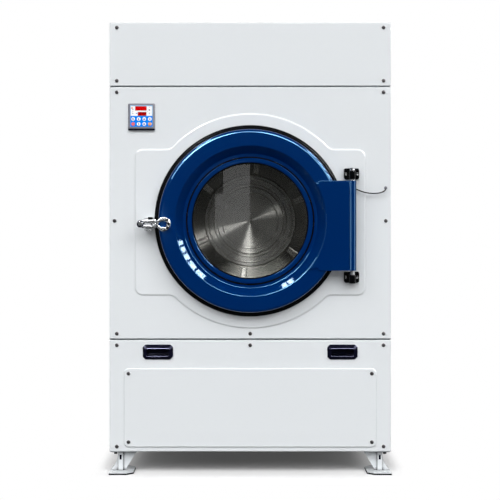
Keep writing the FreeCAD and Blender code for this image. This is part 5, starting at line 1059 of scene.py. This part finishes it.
wallProfile = roundedOutline(
    [(drum["disc"], backFace - wallSkin, 0), (drum["cone"], coneFace - wallSkin, drum["coneRound"]),
    (wallEnd, coneFace - wallSkin, 0), (wallEnd, coneFace, 0)], 8)
drumPieces = []
for name, profile, finish in (("drumDisc", discProfile, drumDisc), ("drumBackWall", wallProfile, shadedDrumWall)):
    shape = turned(profile, doorX, doorZ, drum["turns"], closed=False)
    drumPieces.append(addPiece(name, shape, "stainless", "drum", finish=finish))
shellProfile = roundedOutline([
    (drum["disc"], backFace, 0), (drum["cone"], coneFace, drum["coneRound"]), (inside, coneFace, 14),
    (inside, drum["front"], 0), (drum["outside"], drum["front"], 0), (drum["outside"], drum["back"], 4),
    (drum["bore"], drum["back"], 0), (drum["bore"], drum["back"] - 1, 0),
    (drum["disc"], drum["back"] - 1, 0)], 8)
shellMesh = meshFrom("drumShell", turned(shellProfile, doorX, doorZ, drum["turns"]))
holes = shellMesh.uv_layers.new(name="holes")  # millimetres round the shell and along it
for face in shellMesh.polygons:
    flatOn = abs(face.normal.y) > 0.7
    base = math.atan2(face.center.z - doorMiddle.z, face.center.x - doorMiddle.x)
    for corner in face.loop_indices:
        spot = shellMesh.vertices[shellMesh.loops[corner].vertex_index].co
        x, y, z = (spot.x - doorMiddle.x) * 1000, spot.y * 1000, (spot.z - doorMiddle.z) * 1000
        angle = math.atan2(z, x)
        angle += 2 * math.pi * round((base - angle) / (2 * math.pi))  # no tear where the angle wraps
        holes.data[corner].uv = (x, z) if flatOn else (angle * drum["outside"], y)
drumPieces.append(addPiece("drumShell", shellMesh, "stainless", "drum", "drum_shell", finish=drumSheet))
spokeRise = drum["rise"] + 8
spokeSteps = ((197, 11, 0), (199, 13, 5), (300, 15, spokeRise), (408, 17, spokeRise), (412, 14, drum["rise"]))
work = bmesh.new()
for number in range(drum["spokes"]):
    turn = math.radians(drum["firstSpoke"] + 360 / drum["spokes"] * number)
    rings = []
    for reach, wide, lift in spokeSteps:  # distance from the axis, half width, height above the wall
        rings.append([])
        for across, up in (
                (-wide, lift - 8), (-wide + 1, lift - 1.5), (-wide + 4, lift), (wide - 4, lift),
                (wide - 1, lift - 1.5), (wide, lift - 8)):
            x = doorX + reach * math.cos(turn) - across * math.sin(turn)
            z = doorZ + reach * math.sin(turn) + across * math.cos(turn)
            rings[-1].append(point(x, backFace - up, z))
    skin(rings, into=work)
drumPieces.append(addPiece("drumSpokes", work, "stainless", "drum", finish=drumDisc, sharpAngle=50))
print("drum turned")

# Studio: a broad soft light from above the camera, weaker ones from both sides and behind, and a dark room
# behind the camera so that gloss stays deep
studio = {"ambient": 0.28, "front": 0.01, "turnsAt": (-0.25, 0.35)}
white = (1, 1, 1, 1)
world = bpy.data.worlds.new("studio")
scene.world = world
world.use_nodes = True
room = world.node_tree
room.nodes.clear()
ray = addNode(room, "LightPath")
direction = addNode(room, "SeparateXYZ", links={0: addNode(room, "TexCoord").outputs["Generated"]})
backwards = addNode(
    room, "MapRange", {"From Min": studio["turnsAt"][0], "From Max": studio["turnsAt"][1],
    "To Min": studio["front"], "To Max": 1.0}, {"Value": direction.outputs[1]})
mirrored = addNode(room, "Background", {"Color": white}, {"Strength": backwards.outputs[0]})
ambient = addNode(room, "Background", {"Color": white, "Strength": studio["ambient"]})
seen = addNode(room, "Background", {"Color": white, "Strength": 1.0})
bounced = addNode(
    room, "Math", links={0: ray.outputs["Is Glossy Ray"], 1: ray.outputs["Is Transmission Ray"]},
    operation="MAXIMUM")
unseen = addNode(
    room, "MixShader", links={0: bounced.outputs[0], 1: ambient.outputs[0], 2: mirrored.outputs[0]})
whole = addNode(
    room, "MixShader", links={0: ray.outputs["Is Camera Ray"], 1: unseen.outputs[0], 2: seen.outputs[0]})
addNode(room, "OutputWorld", links={"Surface": whole.outputs[0]})

noGloss, glossOnly = {"misses": "visible_glossy"}, {"misses": "visible_diffuse"}
sparesTop = {"spares": "top_panel"}
# bearing from straight ahead (right is positive), height above the horizon, how wide it looks, strength
softLights = (
    ("overheadLight", -6, 42, 50, 1.85, noGloss),
    ("leftKey", -45, 35, 20, 0.6, sparesTop),
    ("rightKey", 46, 35, 20, 0.65, sparesTop),
    ("rightFill", 30, 24, 20, 0.3, sparesTop),
    ("leftGlint", -56, 8, 40, 2.6, {"serves": "tube", **glossOnly}),
    ("rightGlint", 66, 8, 30, 1.8, {"serves": "tube", **glossOnly}),
    ("leftBackLight", -142, 12, 40, 0.95, noGloss),
    ("rightBackLight", 142, 12, 40, 0.95, noGloss),
    ("overheadGloss", -6, 42, 50, 2.5, {"serves": "gloss", **glossOnly}),
    ("drumWedge", 22, 8, 3, 0.3, {"serves": "drum"}),
    ("drumBottom", 3, 32, 12, 1.4, {"serves": "drum"}),
    ("drumFill", 0, 10, 60, 0.07, {"serves": "drum"}))
# some lamps serve one group: the room's light in the drum, the gloss on metal and panel edges, the thin lines
# on glossy edges
glossNames = ("hinge_pin", "header_panel", "door_panel", "lower_panel", "service_cover", "feet")
glossNodes = [nodes[name] for name in glossNames]
groups = {"drum": drumPieces + [nodes["drum_lifters"]], "gloss": metalPieces + glossNodes + [fieldEdge],
          "edges": edgePieces, "tube": [hingeLeaf]}
for name, pieces in groups.items():
    groups[name] = bpy.data.collections.new(name + "Group")
    for piece in pieces:
        groups[name].objects.link(piece)


def spare(source, nodeName):
    # a flat piece that would mirror this source straight at a viewer behind the machine
    spared = bpy.data.collections.new(source.name + "Spares")
    spared.objects.link(nodes[nodeName])
    spared.collection_objects[0].light_linking.link_state = "EXCLUDE"
    source.light_linking.receiver_collection = spared


for name, bearing, height, wide, strength, reach in softLights:
    lamp = bpy.data.lights.new(name, "SUN")
    lamp.angle = math.radians(wide)
    lamp.energy = strength
    holder = bpy.data.objects.new(name, lamp)
    scene.collection.objects.link(holder)
    bearing, height = math.radians(bearing), math.radians(height)
    source = Vector(
        (math.sin(bearing) * math.cos(height), -math.cos(bearing) * math.cos(height), math.sin(height)))
    holder.rotation_euler = (-source).to_track_quat("-Z", "Y").to_euler()
    holder.location = source * 5
    if "misses" in reach:  # glints show in gloss alone, and the lamps at the back don't
        setattr(holder, reach["misses"], False)
    if "spares" in reach:
        spare(holder, reach["spares"])
    if "serves" in reach:
        holder.light_linking.receiver_collection = groups[reach["serves"]]
        holder.light_linking.blocker_collection = groups[reach["serves"]]

# Cards that only shiny surfaces see: rows of bright panes far to both sides, an arch and two pale walls
panes = {"distance": 4.0, "tilt": (-0.25, -0.39), "glare": 130,
         "spans": ((196, 199), (201, 205), (207, 212), (214, 221), (223, 231), (296, 300), (301.5, 306))}
work = bmesh.new()
near, far = panes["tilt"]
for first, last in panes["spans"]:
    corners = []
    for turn, depth in ((first, near), (last, near), (last, far), (first, far)):
        angle, flat = math.radians(turn), math.sqrt(1 - depth * depth)
        aim = Vector((-flat * math.cos(angle), depth, -flat * math.sin(angle)))
        corners.append(work.verts.new(doorMiddle + aim * panes["distance"]))
    work.faces.new(corners)
cards = [("brightPanes", work, panes["glare"])]
# an arch of light round the camera draws a thin line along every rounded edge;
# its spans are turns from the right over the top, and glare
arch = {"distance": 5.0, "tilt": (12, 34), "steps": 12,
        "spans": ((16, 58, 26), (58, 84, 60), (84, 100, 26), (100, 112, 70), (112, 138, 120), (138, 152, 36))}
for number, (first, last, glare) in enumerate(arch["spans"]):
    work = bmesh.new()
    rows = []
    for lean in map(math.radians, arch["tilt"]):
        spots = arcPoints(0, 0, math.sin(lean), first, last, arch["steps"])
        aims = [Vector((x, -math.cos(lean), z)) for x, z in spots]
        rows.append([work.verts.new(doorMiddle + aim * arch["distance"]) for aim in aims])
    for step in range(arch["steps"]):
        work.faces.new((rows[0][step], rows[0][step + 1], rows[1][step + 1], rows[1][step]))
    cards.append(("archLight%d" % number, work, glare))
# walls behind the camera, set out in mm as if on the panel face, then pushed back to their real place
wall = {"depth": -6.55, "stretch": 2.31, "cards": (
    ("paleWall", 1.3, ((-97, 1102), (-1, 1102), (-1, 760), (-126, 760), (-126, 997), (-97, 997))),
    ("sideWall", 6, ((-580, 960), (-350, 960), (-350, 810), (-580, 810))))}
for name, glare, corners in wall["cards"]:
    work = bmesh.new()
    spots = []
    for x, z in corners:
        wallZ = view["height"] + (z / 1000 - view["height"]) * wall["stretch"]
        spots.append(work.verts.new((x * wall["stretch"] / 1000, wall["depth"], wallZ)))
    work.faces.new(spots)
    cards.append((name, work, glare))
for name, work, glare in cards:
    material = bpy.data.materials.new(name + "Glow")
    material.use_nodes = True
    tree = material.node_tree
    tree.nodes.clear()
    height = addNode(tree, "SeparateXYZ", links={0: addNode(tree, "TexCoord").outputs["Object"]})
    # the glow fades out towards the floor
    strength = addNode(
        tree, "MapRange", {"From Min": 0.55, "From Max": 0.95, "To Max": glare}, {"Value": height.outputs[2]})
    glow = addNode(tree, "Emission", links={"Strength": strength.outputs[0]})
    addNode(tree, "OutputMaterial", links={"Surface": glow.outputs[0]})
    mesh = meshFrom(name, work)
    mesh.materials.append(material)
    card = bpy.data.objects.new(name, mesh)
    scene.collection.objects.link(card)
    card.visible_camera = card.visible_diffuse = card.visible_transmission = card.visible_shadow = False
    if name.startswith("arch"):
        card.light_linking.receiver_collection = groups["edges"]
    else:
        spare(card, "top_panel")

# Floor: pale and plain; close to the machine it takes the shadow, lightened by a faint painted glow, further off
# the camera sees plain white
floor = {
    "half": 9.0, "shade": "#FAFAFA", "bounce": "#909090", "mirrored": "#383838", "near": 0.04, "far": 0.2,
    "lift": 0.055, "sideFade": 3}
half = floor["half"]
floorMesh = bpy.data.meshes.new("floor")
floorMesh.from_pydata(
    [(-half, -half, 0), (half, -half, 0), (half, half, 0), (-half, half, 0)], [], [(0, 1, 2, 3)])
floorPiece = bpy.data.objects.new("floor", floorMesh)
scene.collection.objects.link(floorPiece)
floorPaint, tree, shader = startMaterial(
    "paleStudioFloor", **{"Base Color": linear(floor["shade"]), "Roughness": 0.9, "Specular IOR Level": 0.0})
where = addNode(tree, "TexCoord").outputs["Object"]
folded = addNode(tree, "VectorMath", links={0: where}, operation="ABSOLUTE")
beyond = addNode(
    tree, "VectorMath", {1: (cadHigh.x, -panelFace, 0)}, {0: folded.outputs[0]}, operation="SUBTRACT")
clear = addNode(tree, "VectorMath", {1: (0, 0, 0)}, {0: beyond.outputs[0]}, operation="MAXIMUM")
scaled = addNode(
    tree, "VectorMath", {1: (floor["sideFade"], 1, 0)}, {0: clear.outputs[0]}, operation="MULTIPLY")
# metres from the cabinet's edge
reach = addNode(tree, "VectorMath", links={0: scaled.outputs[0]}, operation="LENGTH")
# even where the shadow is deepest the camera sees a little white glow (the lift): painted light that lightens the
# shadow
fade = addNode(
    tree, "MapRange", {"From Min": floor["near"], "From Max": floor["far"], "To Min": floor["lift"]},
    {"Value": reach.outputs["Value"]}, interpolation_type="SMOOTHSTEP")
glow = addNode(tree, "Emission", {"Strength": 1.0})
ray = addNode(tree, "LightPath")
eye, shiny = ray.outputs["Is Camera Ray"], ray.outputs["Is Glossy Ray"]
onlySeen = addNode(tree, "Math", links={0: eye, 1: fade.outputs[0]}, operation="MULTIPLY")
dull = addNode(tree, "BsdfDiffuse", {"Color": linear(floor["bounce"])})  # what the machine itself is lit by
dark = addNode(tree, "BsdfDiffuse", {"Color": linear(floor["mirrored"])})  # what shiny surfaces see of it
unseen = addNode(tree, "MixShader", links={0: shiny, 1: dull.outputs[0], 2: dark.outputs[0]})
lit = addNode(tree, "MixShader", links={0: eye, 1: unseen.outputs[0], 2: shader.outputs[0]})
swept = addNode(tree, "MixShader", links={0: onlySeen.outputs[0], 1: lit.outputs[0], 2: glow.outputs[0]})
tree.links.new(swept.outputs[0], tree.nodes["Material Output"].inputs["Surface"])
floorMesh.materials.append(floorPaint)
print("studio lit")
